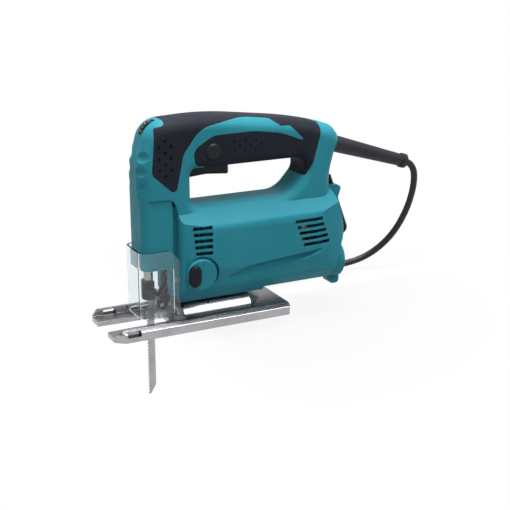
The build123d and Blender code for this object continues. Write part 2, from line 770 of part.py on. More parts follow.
with BuildPart() as housing:
    add(outer_handle)
    add(body_form(0))
    add(column_form(0))
    add(hollow.part, mode=Mode.SUBTRACT)
    add(ribs.part)
    # Boss for the cord guard, holder for the wrench and the hook under the dust outlet
    with BuildSketch(guard_plane.offset(-GUARD_BOSS_IN)):
        Circle(GUARD_BOSS_R)
    extrude(amount=GUARD_BOSS_IN + GUARD_BOSS_OUT)
    add(side_prism(HOLDER_OUTLINE, -HOLDER_HALF, HOLDER_HALF))
    add(side_prism(FOOT_OUTLINE, -FOOT_HALF, FOOT_HALF))
    add(cuts.part, mode=Mode.SUBTRACT)
    add(grip.part, mode=Mode.SUBTRACT)

# The two halves part along the middle plane; that plane's upper side is the left
for side, keep in (("left", Keep.TOP), ("right", Keep.BOTTOM)):
    with BuildPart() as half_shell:
        add(housing.part)
        split(bisect_by=Plane.XZ, keep=keep)
    save("housing_" + side, half_shell.part)
    with BuildPart() as half_grip:
        add(grip.part)
        add(openings.part, mode=Mode.SUBTRACT)
        split(bisect_by=Plane.XZ, keep=keep)
    save("grip_" + side, half_grip.part)

with BuildPart() as housing_screws:
    for x, z in SCREWS:
        add(rod_y(x, z, SCREW_R, -SCREW_SEAT_Y + 2, SCREW_SEAT_Y))
        add(rod_y(x, z, SCREW_HEAD_R, SCREW_SEAT_Y, SCREW_SEAT_Y + 2.6))
save("housing_screws", housing_screws.part)

# Motor: the turning pieces
with BuildPart() as armature_shaft:
    add(toothed(PINION_TEETH, PINION_ROOT_R, PINION_TIP_R, GEAR_X - 1, GEAR_THICK + 3, MOTOR_Z, 90))
    add(rod_x(GEAR_X + GEAR_THICK + 2, SHAFT_STEP_X - GEAR_X - GEAR_THICK - 2, SHAFT_R, MOTOR_Z))
    add(rod_x(SHAFT_STEP_X, REAR_BEARING_X + REAR_BEARING_WIDE - SHAFT_STEP_X, SHAFT_REAR_R, MOTOR_Z))
save("armature_shaft", armature_shaft.part)

with BuildPart() as armature_core:
    with BuildSketch(Plane.YZ.offset(CORE_X)):
        with Locations((0, MOTOR_Z)):
            Circle(CORE_R)
            with PolarLocations(CORE_R - 1.5, SLOTS):
                Rectangle(5.0, 1.8, mode=Mode.SUBTRACT)
            Circle(SHAFT_R, mode=Mode.SUBTRACT)
    extrude(amount=CORE_LONG)
save("armature_core", armature_core.part)

with BuildPart() as armature_windings:
    add(ring_x(CORE_X - WINDING_LONG, WINDING_LONG, WINDING_R, SHAFT_R, MOTOR_Z))
    add(ring_x(CORE_X + CORE_LONG, WINDING_LONG, WINDING_R, SHAFT_R, MOTOR_Z))
    ends = armature_windings.edges().filter_by(GeomType.CIRCLE)
    chamfer(ends.filter_by(lambda e: e.radius > WINDING_R - 1), WINDING_BEVEL)
save("armature_windings", armature_windings.part)

save("commutator", ring_x(COMMUTATOR_X, COMMUTATOR_LONG, COMMUTATOR_R, SHAFT_R, MOTOR_Z))

with BuildPart() as fan:
    add(ring_x(FAN_X, 2.0, FAN_R, SHAFT_R, MOTOR_Z))
    add(ring_x(FAN_X, FAN_WIDE, SHAFT_R + 4, SHAFT_R, MOTOR_Z))
    with BuildSketch(Plane.YZ.offset(FAN_X)):
        with Locations((0, MOTOR_Z)):
            with PolarLocations((FAN_R + SHAFT_R + 3) / 2, FAN_BLADES):
                Rectangle(FAN_R - SHAFT_R - 3.5, 1.6)
    extrude(amount=FAN_WIDE)
save("fan", fan.part)

# Motor: the pieces that stand still
save("stator_core", ring_x(CORE_X, CORE_LONG, STATOR_R, STATOR_BORE_R, MOTOR_Z))

with BuildPart() as field_coils:
    for x in (CORE_X - COIL_OVERHANG, CORE_X + CORE_LONG):
        add(ring_x(x, COIL_OVERHANG, STATOR_R - 1, STATOR_BORE_R + 0.6, MOTOR_Z))
    rims = field_coils.edges().filter_by(GeomType.CIRCLE)
    chamfer(rims.filter_by(lambda e: e.radius > STATOR_R - 2), WINDING_BEVEL)
save("field_coils", field_coils.part)

front_bore = SHAFT_R + RUN_GAP
save("front_bearing", ring_x(FRONT_BEARING_X, FRONT_BEARING_WIDE, FRONT_BEARING_R, front_bore, MOTOR_Z))
rear_bore = SHAFT_REAR_R + RUN_GAP
save("rear_bearing", ring_x(REAR_BEARING_X, REAR_BEARING_WIDE, REAR_BEARING_R, rear_bore, MOTOR_Z))

brush_x = COMMUTATOR_X + COMMUTATOR_LONG / 2
with BuildPart() as brush_holders:
    for side in (-1, 1):
        near, far = sorted((side * (COMMUTATOR_R + 2.5), side * (BODY_HALF - WALL - SEAT_GAP)))
        add(slab(brush_x - 5, brush_x + 5, near, far, MOTOR_Z - 6, MOTOR_Z + 6))
        wide = BRUSH_HALF_X + SEAT_GAP
        tall = BRUSH_HALF_Z + SEAT_GAP
        bore = slab(brush_x - wide, brush_x + wide, near - 1, far + 1, MOTOR_Z - tall, MOTOR_Z + tall)
        add(bore, mode=Mode.SUBTRACT)
save("brush_holders", brush_holders.part)

with BuildPart() as carbon_brushes:
    for side in (-1, 1):
        near, far = sorted((side * (COMMUTATOR_R + RUN_GAP), side * (COMMUTATOR_R + 14)))
        low = MOTOR_Z - BRUSH_HALF_Z
        add(slab(brush_x - BRUSH_HALF_X, brush_x + BRUSH_HALF_X, near, far, low, low + 2 * BRUSH_HALF_Z))
save("carbon_brushes", carbon_brushes.part)

# Crank gear on its fixed pin, and the slider rod with its yoke
with BuildPart() as drive_gear:
    add(toothed(GEAR_TEETH, GEAR_ROOT_R, GEAR_TIP_R, GEAR_X, GEAR_THICK, CRANK_Z, -90 + 180 / GEAR_TEETH))
    add(rod_x(GEAR_X - 1, GEAR_THICK + 2, GEAR_PIN_R + RUN_GAP, CRANK_Z), mode=Mode.SUBTRACT)
    with BuildSketch(Plane.YZ.offset(GEAR_X)):
        with Locations((0, CRANK_Z)):
            with PolarLocations(15.0, 5, start_angle=36):
                Circle(3.2)
    extrude(amount=GEAR_THICK, mode=Mode.SUBTRACT)
save("drive_gear", drive_gear.part)

crank_x = YOKE_REAR_X + FREE_GAP
save("crank_pin", rod_x(crank_x, GEAR_X - crank_x, CRANK_PIN_R, CRANK_Z, y=CRANK_R))
save("gear_pin", rod_x(GEAR_X - 1, RIB_PIN_X + 5.5 - GEAR_X + 1, GEAR_PIN_R, CRANK_Z))

with BuildPart() as slider_rod:
    add(rod_z(0, ROD_LOW_Z, ROD_TOP_Z, ROD_R))
    yoke_low = CRANK_Z - YOKE_TALL / 2
    add(slab(YOKE_FRONT_X, YOKE_REAR_X, -YOKE_HALF, YOKE_HALF, yoke_low, yoke_low + YOKE_TALL))
    slot_half = CRANK_R + CRANK_PIN_R + 0.2
    slot_tall = CRANK_PIN_R + 0.2
    add(
        slab(ROD_R + 1, YOKE_REAR_X, -slot_half, slot_half, CRANK_Z - slot_tall, CRANK_Z + slot_tall),
        mode=Mode.SUBTRACT,
    )
save("slider_rod", slider_rod.part)

with BuildPart() as slider_guides:
    for z in (LOW_GUIDE_Z, TOP_GUIDE_Z):
        add(rod_z(0, z, z + GUIDE_LONG, GUIDE_R))
        add(rod_z(0, z, z + GUIDE_LONG, ROD_R + RUN_GAP), mode=Mode.SUBTRACT)
save("slider_guides", slider_guides.part)

# Blade and its clamp
with BuildPart() as blade:
    points = [(BLADE_FRONT_X + TOOTH_DEEP, BLADE_TOP_Z), (BLADE_REAR_X, BLADE_TOP_Z)]
    points += [(BLADE_REAR_X, BLADE_TIP_Z + 9.0), (BLADE_FRONT_X + TOOTH_DEEP, BLADE_TIP_Z)]
    teeth = int((CLAMP_LOW_Z - 10 - BLADE_TIP_Z) / TOOTH_PITCH)
    for i in range(teeth):
        z = BLADE_TIP_Z + i * TOOTH_PITCH
        points.append((BLADE_FRONT_X, z + 0.8))
        points.append((BLADE_FRONT_X + TOOTH_DEEP, z + TOOTH_PITCH))
    with BuildSketch(Plane.XZ):
        Polygon(*points, align=None)
    extrude(amount=BLADE_THICK / 2, both=True)
save("blade", blade.part)

with BuildPart() as blade_clamp:
    add(rod_z(0, CLAMP_LOW_Z, ROD_LOW_Z, CLAMP_R))
    chamfer(blade_clamp.edges().group_by(Axis.Z)[0], 1.5)
    add(slab(-LONG, LONG, -LONG, -CLAMP_R + 1, CLAMP_LOW_Z, ROD_LOW_Z), mode=Mode.SUBTRACT)
    add(slab(CLAMP_REAR_X, LONG, -LONG, LONG, CLAMP_LOW_Z, ROD_LOW_Z), mode=Mode.SUBTRACT)
    half_slot = BLADE_THICK / 2 + SEAT_GAP
    add(
        slab(BLADE_FRONT_X - SEAT_GAP, LONG, -half_slot, half_slot, CLAMP_LOW_Z, BLADE_TOP_Z + SEAT_GAP),
        mode=Mode.SUBTRACT,
    )
save("blade_clamp", blade_clamp.part)

clamp_screw_z = (CLAMP_LOW_Z + ROD_LOW_Z) / 2
with BuildPart() as clamp_screw:
    add(rod_y(0, clamp_screw_z, CLAMP_SCREW_R, -CLAMP_R - 4, -CLAMP_R + 1))
    with BuildSketch(Plane.XZ.offset(CLAMP_R + 4)):
        with Locations((0, clamp_screw_z)):
            RegularPolygon(WRENCH_FLATS / 2 + SEAT_GAP, 6, major_radius=False)
    extrude(amount=-3.0, mode=Mode.SUBTRACT)
save("clamp_screw", clamp_screw.part)

# Guide roller behind the blade, in its swinging fork
roller_x = BLADE_REAR_X + SEAT_GAP + ROLLER_R
with BuildPart() as guide_roller:
    with BuildSketch(Plane.XY):
        half = ROLLER_WIDE / 2
        groove = BLADE_THICK / 2 + FREE_GAP
        with BuildLine():
            Polyline(
                (PIN_R + RUN_GAP, -half),
                (ROLLER_R + 1, -half),
                (ROLLER_R + 1, -groove - 1),
                (ROLLER_R, -groove),
                (ROLLER_R, groove),
                (ROLLER_R + 1, groove + 1),
                (ROLLER_R + 1, half),
                (PIN_R + RUN_GAP, half),
                close=True,
            )
        make_face()
    revolve(axis=Axis.Y)
guide_roller.part.locate(Location((roller_x, 0, ROLLER_Z)))
save("guide_roller", guide_roller.part)

with BuildPart() as roller_fork:
    plate_y = ROLLER_WIDE / 2 + FREE_GAP
    arm = [
        ((roller_x - 3, ROLLER_Z - 4), 2.9),
        ((roller_x + 4, ROLLER_Z - 4), 2.9),
        ((FORK_PIN_X + 4, FORK_PIN_Z - 8), 3.0),
        ((FORK_PIN_X + 4, FORK_PIN_Z + 4), 3.9),
        ((FORK_PIN_X - 4, FORK_PIN_Z + 4), 3.9),
        ((FORK_PIN_X - 5, FORK_PIN_Z - 8), 3.0),
        ((roller_x - 3, ROLLER_Z + 6), 3.0),
    ]
    for side in (-1, 1):
        near, far = sorted((side * plate_y, side * (plate_y + FORK_PLATE)))
        add(side_prism(arm, near, far))
    add(rod_y(FORK_PIN_X, FORK_PIN_Z, 3.9, -plate_y, plate_y))
    add(rod_y(FORK_PIN_X, FORK_PIN_Z, PIN_R + RUN_GAP, -LONG, LONG), mode=Mode.SUBTRACT)
    add(rod_y(roller_x, ROLLER_Z, PIN_R + SEAT_GAP, -LONG, LONG), mode=Mode.SUBTRACT)
save("roller_fork", roller_fork.part)
save("roller_pin", rod_y(roller_x, ROLLER_Z, PIN_R, -plate_y - FORK_PLATE, plate_y + FORK_PLATE))
save("fork_pin", rod_y(FORK_PIN_X, FORK_PIN_Z, PIN_R, -NECK_HALF + 0.4, NECK_HALF - 0.4))

# Shoe: pressed tray with side rails, front arms, fence slots and the hump that it tilts on
with BuildPart() as shoe:
    with BuildSketch(Plane.YZ.offset(SHOE_FRONT_X)):
        half_outline(
            [((SHOE_HALF, 0), 0), ((SHOE_HALF, SHOE_EDGE_Z), 1.5), ((SHOE_HALF - 5, SHOE_TALL), 2)],
            (0, 0),
            (0, SHOE_TALL),
        )
        mirror(about=Plane.YZ)
    extrude(amount=SHOE_REAR_X - SHOE_FRONT_X)
    with BuildSketch(Plane.XY):
        outline(
            [
                ((SHOE_FRONT_X, -SHOE_HALF + 7), 1.5),
                ((SHOE_FRONT_X + 9, -SHOE_HALF), 3.0),
                ((SHOE_REAR_X, -SHOE_HALF), 3.0),
                ((SHOE_REAR_X, SHOE_HALF), 3.0),
                ((SHOE_FRONT_X + 9, SHOE_HALF), 3.0),
                ((SHOE_FRONT_X, SHOE_HALF - 7), 1.5),
            ]
        )
    extrude(amount=SHOE_TALL, mode=Mode.INTERSECT)
    rail_y = SHOE_HALF - RAIL_WIDE
    add(slab(SHOE_FRONT_X - 1, SHELF_REAR_X, -rail_y, rail_y, SHELF_Z, SHOE_TALL + 1), mode=Mode.SUBTRACT)
    front_slope = [
        ((SHOE_FRONT_X - 1, SHELF_Z), 0),
        ((SHOE_FRONT_X + 8, SHOE_TALL), 0),
        ((SHOE_FRONT_X + 8, SHOE_TALL + 3), 0),
        ((SHOE_FRONT_X - 1, SHOE_TALL + 3), 0),
    ]
    add(side_prism(front_slope, -LONG, LONG), mode=Mode.SUBTRACT)
    tray = SHOE_HALF - RAIL_WIDE + 3
    add(slab(SHELF_REAR_X + 5, SHOE_REAR_X - 3, -tray, tray, -1, SHOE_TALL - SHOE_SKIN), mode=Mode.SUBTRACT)
    for inset, mode in ((0, Mode.ADD), (SHOE_SKIN, Mode.SUBTRACT)):
        with BuildSketch(Plane.XZ):
            Polygon(
                (HUMP_FRONT_X + inset, 0),
                (HUMP_REAR_X - inset, 0),
                (HUMP_REAR_X - inset, HUMP_END_R - inset),
                (HUMP_SLOPE_X - inset / 2, HUMP_R - inset),
                (HUMP_FRONT_X + inset, HUMP_R - inset),
                align=None,
            )
        revolve(axis=Axis.X, mode=mode)
    window = HUMP_R * sin(radians(SHOE_TILT)) + BOLT_R + FREE_GAP
    window_front = BOLT_X - SHOE_TRAVEL - BOLT_R - FREE_GAP
    add(
        slab(window_front, BOLT_X + BOLT_R + FREE_GAP, -window, window, SHOE_TALL, HUMP_R + 1),
        mode=Mode.SUBTRACT,
    )
    add(slab(-LONG, LONG, -LONG, LONG, -LONG, 0), mode=Mode.SUBTRACT)
    with BuildSketch(Plane.XY):
        outline(
            [
                ((SHOE_FRONT_X - 5, -NOTCH_HALF - 2), 0),
                ((NOTCH_REAR_X, -NOTCH_HALF), 6),
                ((NOTCH_REAR_X, NOTCH_HALF), 6),
                ((SHOE_FRONT_X - 5, NOTCH_HALF + 2), 0),
            ]
        )
    extrude(amount=SHOE_TALL + 1, mode=Mode.SUBTRACT)
    slot_x = FENCE_SLOT_X - FENCE_SLOT_LONG / 2
    add(
        slab(slot_x, slot_x + FENCE_SLOT_LONG, -LONG, LONG, SHELF_Z, SHELF_Z + FENCE_SLOT_TALL),
        mode=Mode.SUBTRACT,
    )
save("shoe", shoe.part)

with BuildPart() as saddle:
    saddle_r = HUMP_R + RUN_GAP
    add(ring_x(SADDLE_FRONT_X, SADDLE_REAR_X - SADDLE_FRONT_X, saddle_r + SADDLE_THICK, saddle_r, 0))
    add(slab(-LONG, LONG, -LONG, LONG, -LONG, SADDLE_FOOT_Z), mode=Mode.SUBTRACT)
    add(slab(SADDLE_FRONT_X + SADDLE_FOOT, LONG, -LONG, LONG, -LONG, SADDLE_LOW_Z), mode=Mode.SUBTRACT)
    slot = BOLT_R + FREE_GAP
    add(slab(window_front, BOLT_X + slot, -slot, slot, 0, LONG), mode=Mode.SUBTRACT)
save("saddle", saddle.part)

washer_r = HUMP_R - SHOE_SKIN - RUN_GAP
with BuildPart() as bolt_washer:
    add(ring_x(BOLT_X - WASHER_LONG / 2, WASHER_LONG, washer_r, washer_r - WASHER_THICK, 0))
    add(slab(-LONG, LONG, -LONG, LONG, -LONG, washer_r - 6), mode=Mode.SUBTRACT)
    add(rod_z(BOLT_X, 0, LONG, BOLT_R + SEAT_GAP), mode=Mode.SUBTRACT)
save("bolt_washer", bolt_washer.part)

bolt_seat = washer_r - WASHER_THICK - 0.8
with BuildPart() as shoe_bolt:
    add(rod_z(BOLT_X, bolt_seat, BOLT_TOP_Z, BOLT_R))
    add(rod_z(BOLT_X, bolt_seat - 5, bolt_seat, BOLT_HEAD_R))
    with BuildSketch(Plane.XY.offset(bolt_seat - 5)):
        with Locations((BOLT_X, 0)):
            RegularPolygon(WRENCH_FLATS / 2 + SEAT_GAP, 6, major_radius=False)
    extrude(amount=3.0, mode=Mode.SUBTRACT)
save("shoe_bolt", shoe_bolt.part)

# Clear dust cover: three walls round the column, with lips in the grooves behind it
with BuildPart() as dust_cover:
    for inset, mode in ((0, Mode.ADD), (COVER_WALL, Mode.SUBTRACT)):
        with BuildSketch(Plane.XY.offset(COVER_LOW_Z)):
            outline(
                [
                    ((COVER_REAR_X, -COVER_HALF + inset), 0),
                    ((COVER_FRONT_X + inset, -COVER_HALF + inset), COVER_ROUND - inset),
                    ((COVER_FRONT_X + inset, COVER_HALF - inset), COVER_ROUND - inset),
                    ((COVER_REAR_X, COVER_HALF - inset), 0),
                ]
            )
        extrude(amount=COVER_TOP_Z - COVER_LOW_Z, mode=mode)
    for side in (-1, 1):
        near, far = sorted((side * (NECK_HALF + RUN_GAP), side * (COVER_HALF - COVER_WALL / 2)))
        lip_x = COLUMN_REAR_X + RUN_GAP
        add(slab(lip_x, lip_x + COVER_WALL, near, far, COVER_LOW_Z, COVER_TOP_Z))
    with BuildSketch(Plane.XZ):
        outline(
            [
                ((COVER_FRONT_X, COVER_LOW_Z), 0),
                ((COVER_REAR_X, COVER_LOW_Z), 5),
                ((COVER_REAR_X, COVER_TOP_Z - 10), 2),
                ((COVER_REAR_X - 9, COVER_TOP_Z), 2),
                ((COVER_FRONT_X, COVER_TOP_Z), 0),
            ]
        )
    extrude(amount=LONG, both=True, mode=Mode.INTERSECT)
save("dust_cover", dust_cover.part)

# Controls
with BuildPart() as orbit_dial:
    add(rod_y(DIAL_X, DIAL_Z, DIAL_R, DIAL_FACE_Y, DIAL_FACE_Y + DIAL_THICK))
    rim = orbit_dial.faces().sort_by(Axis.Y)[0].edges()
    chamfer(rim, 1.2)
    add(rod_y(DIAL_X, DIAL_Z, DIAL_SHAFT_R, DIAL_FACE_Y + 1, -20))
save("orbit_dial", orbit_dial.part)

with BuildPart() as orbit_lever:
    left, middle, right = (DIAL_X + LEVER_X + side * LEVER_HALF for side in (-1, 0, 1))
    lens = [
        ((middle, DIAL_Z - LEVER_TALL), 4.0),
        ((right, DIAL_Z - LEVER_HALF), 6.0),
        ((right, DIAL_Z + LEVER_HALF), 6.0),
        ((middle, DIAL_Z + LEVER_TALL), 4.0),
        ((left, DIAL_Z + LEVER_HALF), 6.0),
        ((left, DIAL_Z - LEVER_HALF), 6.0),
    ]
    add(side_prism(lens, DIAL_FACE_Y - LEVER_THICK, DIAL_FACE_Y))
    chamfer(orbit_lever.faces().sort_by(Axis.Y)[0].edges(), LEVER_THICK / 2)
save("orbit_lever", orbit_lever.part)

with BuildPart() as trigger:
    curve = [
        ((TRIGGER_X, TRIGGER_LOW_Z + 0.5), 3),
        ((58.0, TRIGGER_LOW_Z + 2), 40),
        ((TRIGGER_REAR_X, TRIGGER_LOW_Z), 2),
        ((TRIGGER_REAR_X, TRIGGER_TOP_Z), 0),
        ((TRIGGER_X, TRIGGER_TOP_Z), 0),
    ]
    add(side_prism(curve, -TRIGGER_HALF, TRIGGER_HALF))
    rim = trigger.faces().filter_by(Axis.Y).edges()
    chamfer(rim.filter_by(lambda e: e.center().Z < TRIGGER_LOW_Z + 3.5), TRIGGER_BEVEL)
    flange_z = LOOP_TOP_Z + WALL + SEAT_GAP
    flange_half = TRIGGER_HALF + TRIGGER_FLANGE
    flange_top = flange_z + TRIGGER_FLANGE
    add(slab(SWITCH_X + 1, TRIGGER_REAR_X - 1, -flange_half, flange_half, flange_z, flange_top))
save("trigger", trigger.part)

with BuildPart() as lock_button:
    lock_end_y = -flange_half - LOCK_TRAVEL - FREE_GAP
    add(rod_y(LOCK_X, LOCK_Z, LOCK_R, -HANDLE_HALF - 1.8, lock_end_y))
    chamfer(lock_button.faces().sort_by(Axis.Y)[0].edges(), 1.2)
    flange_y = -HANDLE_HALF + WALL + 2 * RUN_GAP
    add(rod_y(LOCK_X, LOCK_Z, LOCK_R + 1.0, flange_y, flange_y + 1.6))
save("lock_button", lock_button.part)

with BuildPart() as switch_body:
    add(
        slab(
            SWITCH_X + SEAT_GAP,
            SWITCH_X + SWITCH_LONG - SEAT_GAP,
            -SWITCH_HALF,
            SWITCH_HALF,
            SWITCH_LOW_Z,
            SWITCH_LOW_Z + SWITCH_TALL,
        )
    )
save("switch_body", switch_body.part)

with BuildPart() as speed_dial:
    points = []
    for notch in range(WHEEL_NOTCHES):
        for share, radius in ((0, WHEEL_R), (0.6, WHEEL_R), (0.8, WHEEL_R - WHEEL_NOTCH)):
            angle = 2 * pi * (notch + share) / WHEEL_NOTCHES
            points.append((WHEEL_X + radius * cos(angle), WHEEL_Z + radius * sin(angle)))
    with BuildSketch(Plane.XZ):
        Polygon(*points, align=None)
    extrude(amount=WHEEL_WIDE / 2, both=True)
    bracket_y = WHEEL_WIDE / 2 + FREE_GAP
    add(rod_y(WHEEL_X, WHEEL_Z, PIN_R, -bracket_y - 2, bracket_y + 2))
save("speed_dial", speed_dial.part)

with BuildPart() as speed_controller:
    board_low = TOP_GUIDE_Z + GUIDE_LONG - 1
    add(slab(13, 34, -9, 9, board_low, 168))
    bracket = [((2, 179), 2), ((13, 160), 0), ((22, 160), 0), ((22, 168), 2), ((12, 187), 3), ((4, 187), 3)]
    for side in (-1, 1):
        near, far = sorted((side * bracket_y, side * (bracket_y + 2)))
        add(side_prism(bracket, near, far))
    add(rod_y(WHEEL_X, WHEEL_Z, WHEEL_R + 1, -bracket_y, bracket_y), mode=Mode.SUBTRACT)
    add(rod_y(WHEEL_X, WHEEL_Z, PIN_R + RUN_GAP, -LONG, LONG), mode=Mode.SUBTRACT)
save("speed_controller", speed_controller.part)

# Dust pipe, cord guard, cord clamp and wrench at the rear
save("dust_pipe", ring_x(PIPE_X, PORT_REAR_X - PIPE_X + 1, PORT_R - WALL - SEAT_GAP, PIPE_BORE_R, PORT_Z))

with BuildPart() as cord_guard:
    with BuildSketch(Plane.XZ):
        with BuildLine():
            Polyline(
                (GUARD_BORE_R, -GUARD_BOSS_IN - GUARD_COLLAR),
                (GUARD_BASE_R + 2, -GUARD_BOSS_IN - GUARD_COLLAR),
                (GUARD_BASE_R + 2, -GUARD_BOSS_IN - SEAT_GAP),
                (GUARD_BASE_R, -GUARD_BOSS_IN - SEAT_GAP),
                (GUARD_BASE_R, 6),
                (GUARD_TIP_R, guard_long - 5),
                (GUARD_TIP_R + 1.2, guard_long - 5),
                (GUARD_TIP_R + 1.2, guard_long),
                (GUARD_BORE_R, guard_long),
                close=True,
            )
        make_face()
    revolve(axis=Axis.Z)
cord_guard.part.locate(Location(guard_plane))
save("cord_guard", cord_guard.part)

inner_long = 26.0
with BuildPart() as cord_inner:
    with BuildSketch(guard_plane.offset(-inner_long)):
        Circle(CORD_D / 2)
    extrude(amount=inner_long + guard_long)
save("cord_inner", cord_inner.part)

with BuildPart() as cord_clamp:
    with BuildSketch(guard_plane.offset(-inner_long + 4)):
        Rectangle(24, CORD_D + 5)
        Circle(CORD_D / 2 + SEAT_GAP, mode=Mode.SUBTRACT)
    extrude(amount=8)
save("cord_clamp", cord_clamp.part)

with BuildPart() as hex_wrench:
    with BuildLine() as wrench_line:
        FilletPolyline(
            (WRENCH_TOP[0], 0, WRENCH_TOP[1]),
            (WRENCH_LOW[0], 0, WRENCH_LOW[1]),
            (SHORT_LEG_X, 0, WRENCH_LOW[1]),
            radius=5.0,
        )
    with BuildSketch(wrench_plane):
        RegularPolygon(WRENCH_FLATS / 2, 6, major_radius=False)
    sweep(path=wrench_line.line)
save("hex_wrench", hex_wrench.part)

# Cord: the free stretches, the wound length in two layers with its tie, and the plug
save("cord_lead", cord_tube(LEAD_ROUTE))
save("cord_tail", cord_tube(TAIL_ROUTE))

step = COIL_PITCH / 2
inward = [COIL_OUT_R - i * step for i in range(2 * COIL_TURNS)]
climb = COIL_OUT_R - 2 * COIL_TURNS * step
with BuildPart() as cord_coil:
    with BuildLine() as wound:
        Line((COIL_X + CORD_D, COIL_NEAR_Y, COIL_LOW_Z), (COIL_X, COIL_NEAR_Y, COIL_LOW_Z))
        y = COIL_NEAR_Y
        z = COIL_LOW_Z
        way = 1
        for radius in inward + [climb] + inward[:0:-1]:
            rise = COIL_PITCH if radius == climb else 0.0
            reach = sqrt(radius**2 + rise**2 / 4)
            middle = (COIL_X - way * reach, y + way * radius, z + rise / 2)
            end = (COIL_X, y + 2 * way * radius, z + rise)
            ThreePointArc((COIL_X, y, z), middle, end)
            y = end[1]
            z = end[2]
            way = -way
        Line((COIL_X, y, z), (COIL_X - CORD_D, y, z))
    with BuildSketch(Plane(origin=wound.line @ 0, z_dir=wound.line % 0)):
        RegularPolygon(CORD_D / 2, CORD_SIDES)
    sweep(path=wound.line)
save("cord_coil", cord_coil.part)

tie_y = COIL_Y + COIL_OUT_R - COIL_TURNS * step
tie_half = COIL_TURNS * step + CORD_D / 2 + FREE_GAP
tie_z = COIL_LOW_Z + COIL_PITCH / 2
tie_half_z = COIL_PITCH / 2 + CORD_D / 2 + RUN_GAP
with BuildPart() as cord_tie:
    with BuildSketch(Plane.YZ.offset(COIL_X - TIE_WIDE / 2)):
        with Locations((tie_y, tie_z)):
            RectangleRounded(2 * (tie_half + TIE_THICK), 2 * (tie_half_z + TIE_THICK), CORD_D / 2)
            RectangleRounded(2 * tie_half, 2 * tie_half_z, CORD_D / 2 - TIE_THICK, mode=Mode.SUBTRACT)
    extrude(amount=TIE_WIDE)
save("cord_tie", cord_tie.part)

plug_face_x = PLUG_REAR_X - PLUG_LONG
with BuildPart() as plug_body:
    for x, wide, tall in (
        (plug_face_x, PLUG_WIDE, PLUG_TALL),
        (plug_face_x + PLUG_LONG / 3, PLUG_WIDE, PLUG_TALL),
        (PLUG_REAR_X, CORD_D + 5, CORD_D + 3),
    ):
        with BuildSketch(Plane.YZ.offset(x)):
            bevelled(wide, tall, COIL_NEAR_Y, PLUG_Z)
    loft(ruled=True)
save("plug_body", plug_body.part)

with BuildPart() as plug_pins:
    with BuildSketch(Plane.YZ.offset(plug_face_x)):
        with Locations((COIL_NEAR_Y, PLUG_Z)):
            with GridLocations(PLUG_PIN_APART, 1, 2, 1):
                Circle(PLUG_PIN_R)
    extrude(amount=-PLUG_PIN_LONG)
    chamfer(plug_pins.faces().sort_by(Axis.X)[:2].edges(), PLUG_PIN_R / 2)
save("plug_pins", plug_pins.part)

for name, part in nodes.items():
    export_step(part, f"parts/{name}.step")
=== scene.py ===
"""Studio view of a corded top-handle jigsaw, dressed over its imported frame. Metres, +Z up."""

import json
from math import cos, pi, radians, sin

import bmesh
import bpy
from mathutils import Matrix, Vector


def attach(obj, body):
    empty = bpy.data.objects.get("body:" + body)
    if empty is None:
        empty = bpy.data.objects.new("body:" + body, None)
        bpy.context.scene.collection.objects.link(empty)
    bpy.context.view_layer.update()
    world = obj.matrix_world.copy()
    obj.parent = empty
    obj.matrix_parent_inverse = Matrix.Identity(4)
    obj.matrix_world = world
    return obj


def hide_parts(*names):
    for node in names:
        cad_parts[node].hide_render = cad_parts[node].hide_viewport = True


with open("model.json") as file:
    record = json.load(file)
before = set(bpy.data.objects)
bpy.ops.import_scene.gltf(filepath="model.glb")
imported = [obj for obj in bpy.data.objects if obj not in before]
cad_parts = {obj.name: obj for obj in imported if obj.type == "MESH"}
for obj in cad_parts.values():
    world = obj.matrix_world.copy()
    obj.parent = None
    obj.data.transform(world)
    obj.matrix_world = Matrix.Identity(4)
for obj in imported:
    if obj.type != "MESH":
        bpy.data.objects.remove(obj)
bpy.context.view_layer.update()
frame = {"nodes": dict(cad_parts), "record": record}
nodes = frame["nodes"]
scene = bpy.context.scene
MM = 0.001
SIDES = ((-1, "left"), (1, "right"))

# Camera, at the photograph's viewing angle
CAMERA_AZIMUTH = radians(-26.78)
CAMERA_ELEVATION = radians(17.60)
CAMERA_TARGET = Vector((112.2, 0.0, 52.2)) * MM
CAMERA_AWAY = 1060.7 * MM
CAMERA_LENS = 76.6
SENSOR = 36.0

camera_data = bpy.data.cameras.new("camera")
camera_data.lens = CAMERA_LENS
camera_data.sensor_width = SENSOR
camera = bpy.data.objects.new("camera", camera_data)
scene.collection.objects.link(camera)
back = Vector(
    (
        sin(CAMERA_AZIMUTH) * cos(CAMERA_ELEVATION),
        -cos(CAMERA_AZIMUTH) * cos(CAMERA_ELEVATION),
        sin(CAMERA_ELEVATION),
    )
)
camera.location = CAMERA_TARGET + back * CAMERA_AWAY
camera.rotation_mode = "QUATERNION"
camera.rotation_quaternion = (-back).to_track_quat("-Z", "Y")
scene.camera = camera
scene.view_settings.view_transform = "Standard"


# Materials
def tree_maths(tree, operation, first, second):
    """Output of a sum on two values, each a plain number or an output."""
    made = tree.nodes.new("ShaderNodeMath")
    made.operation = operation
    for socket, value in zip(made.inputs, (first, second)):
        if isinstance(value, (int, float)):
            socket.default_value = value
        else:
            tree.links.new(value, socket)
    return made.outputs["Value"]


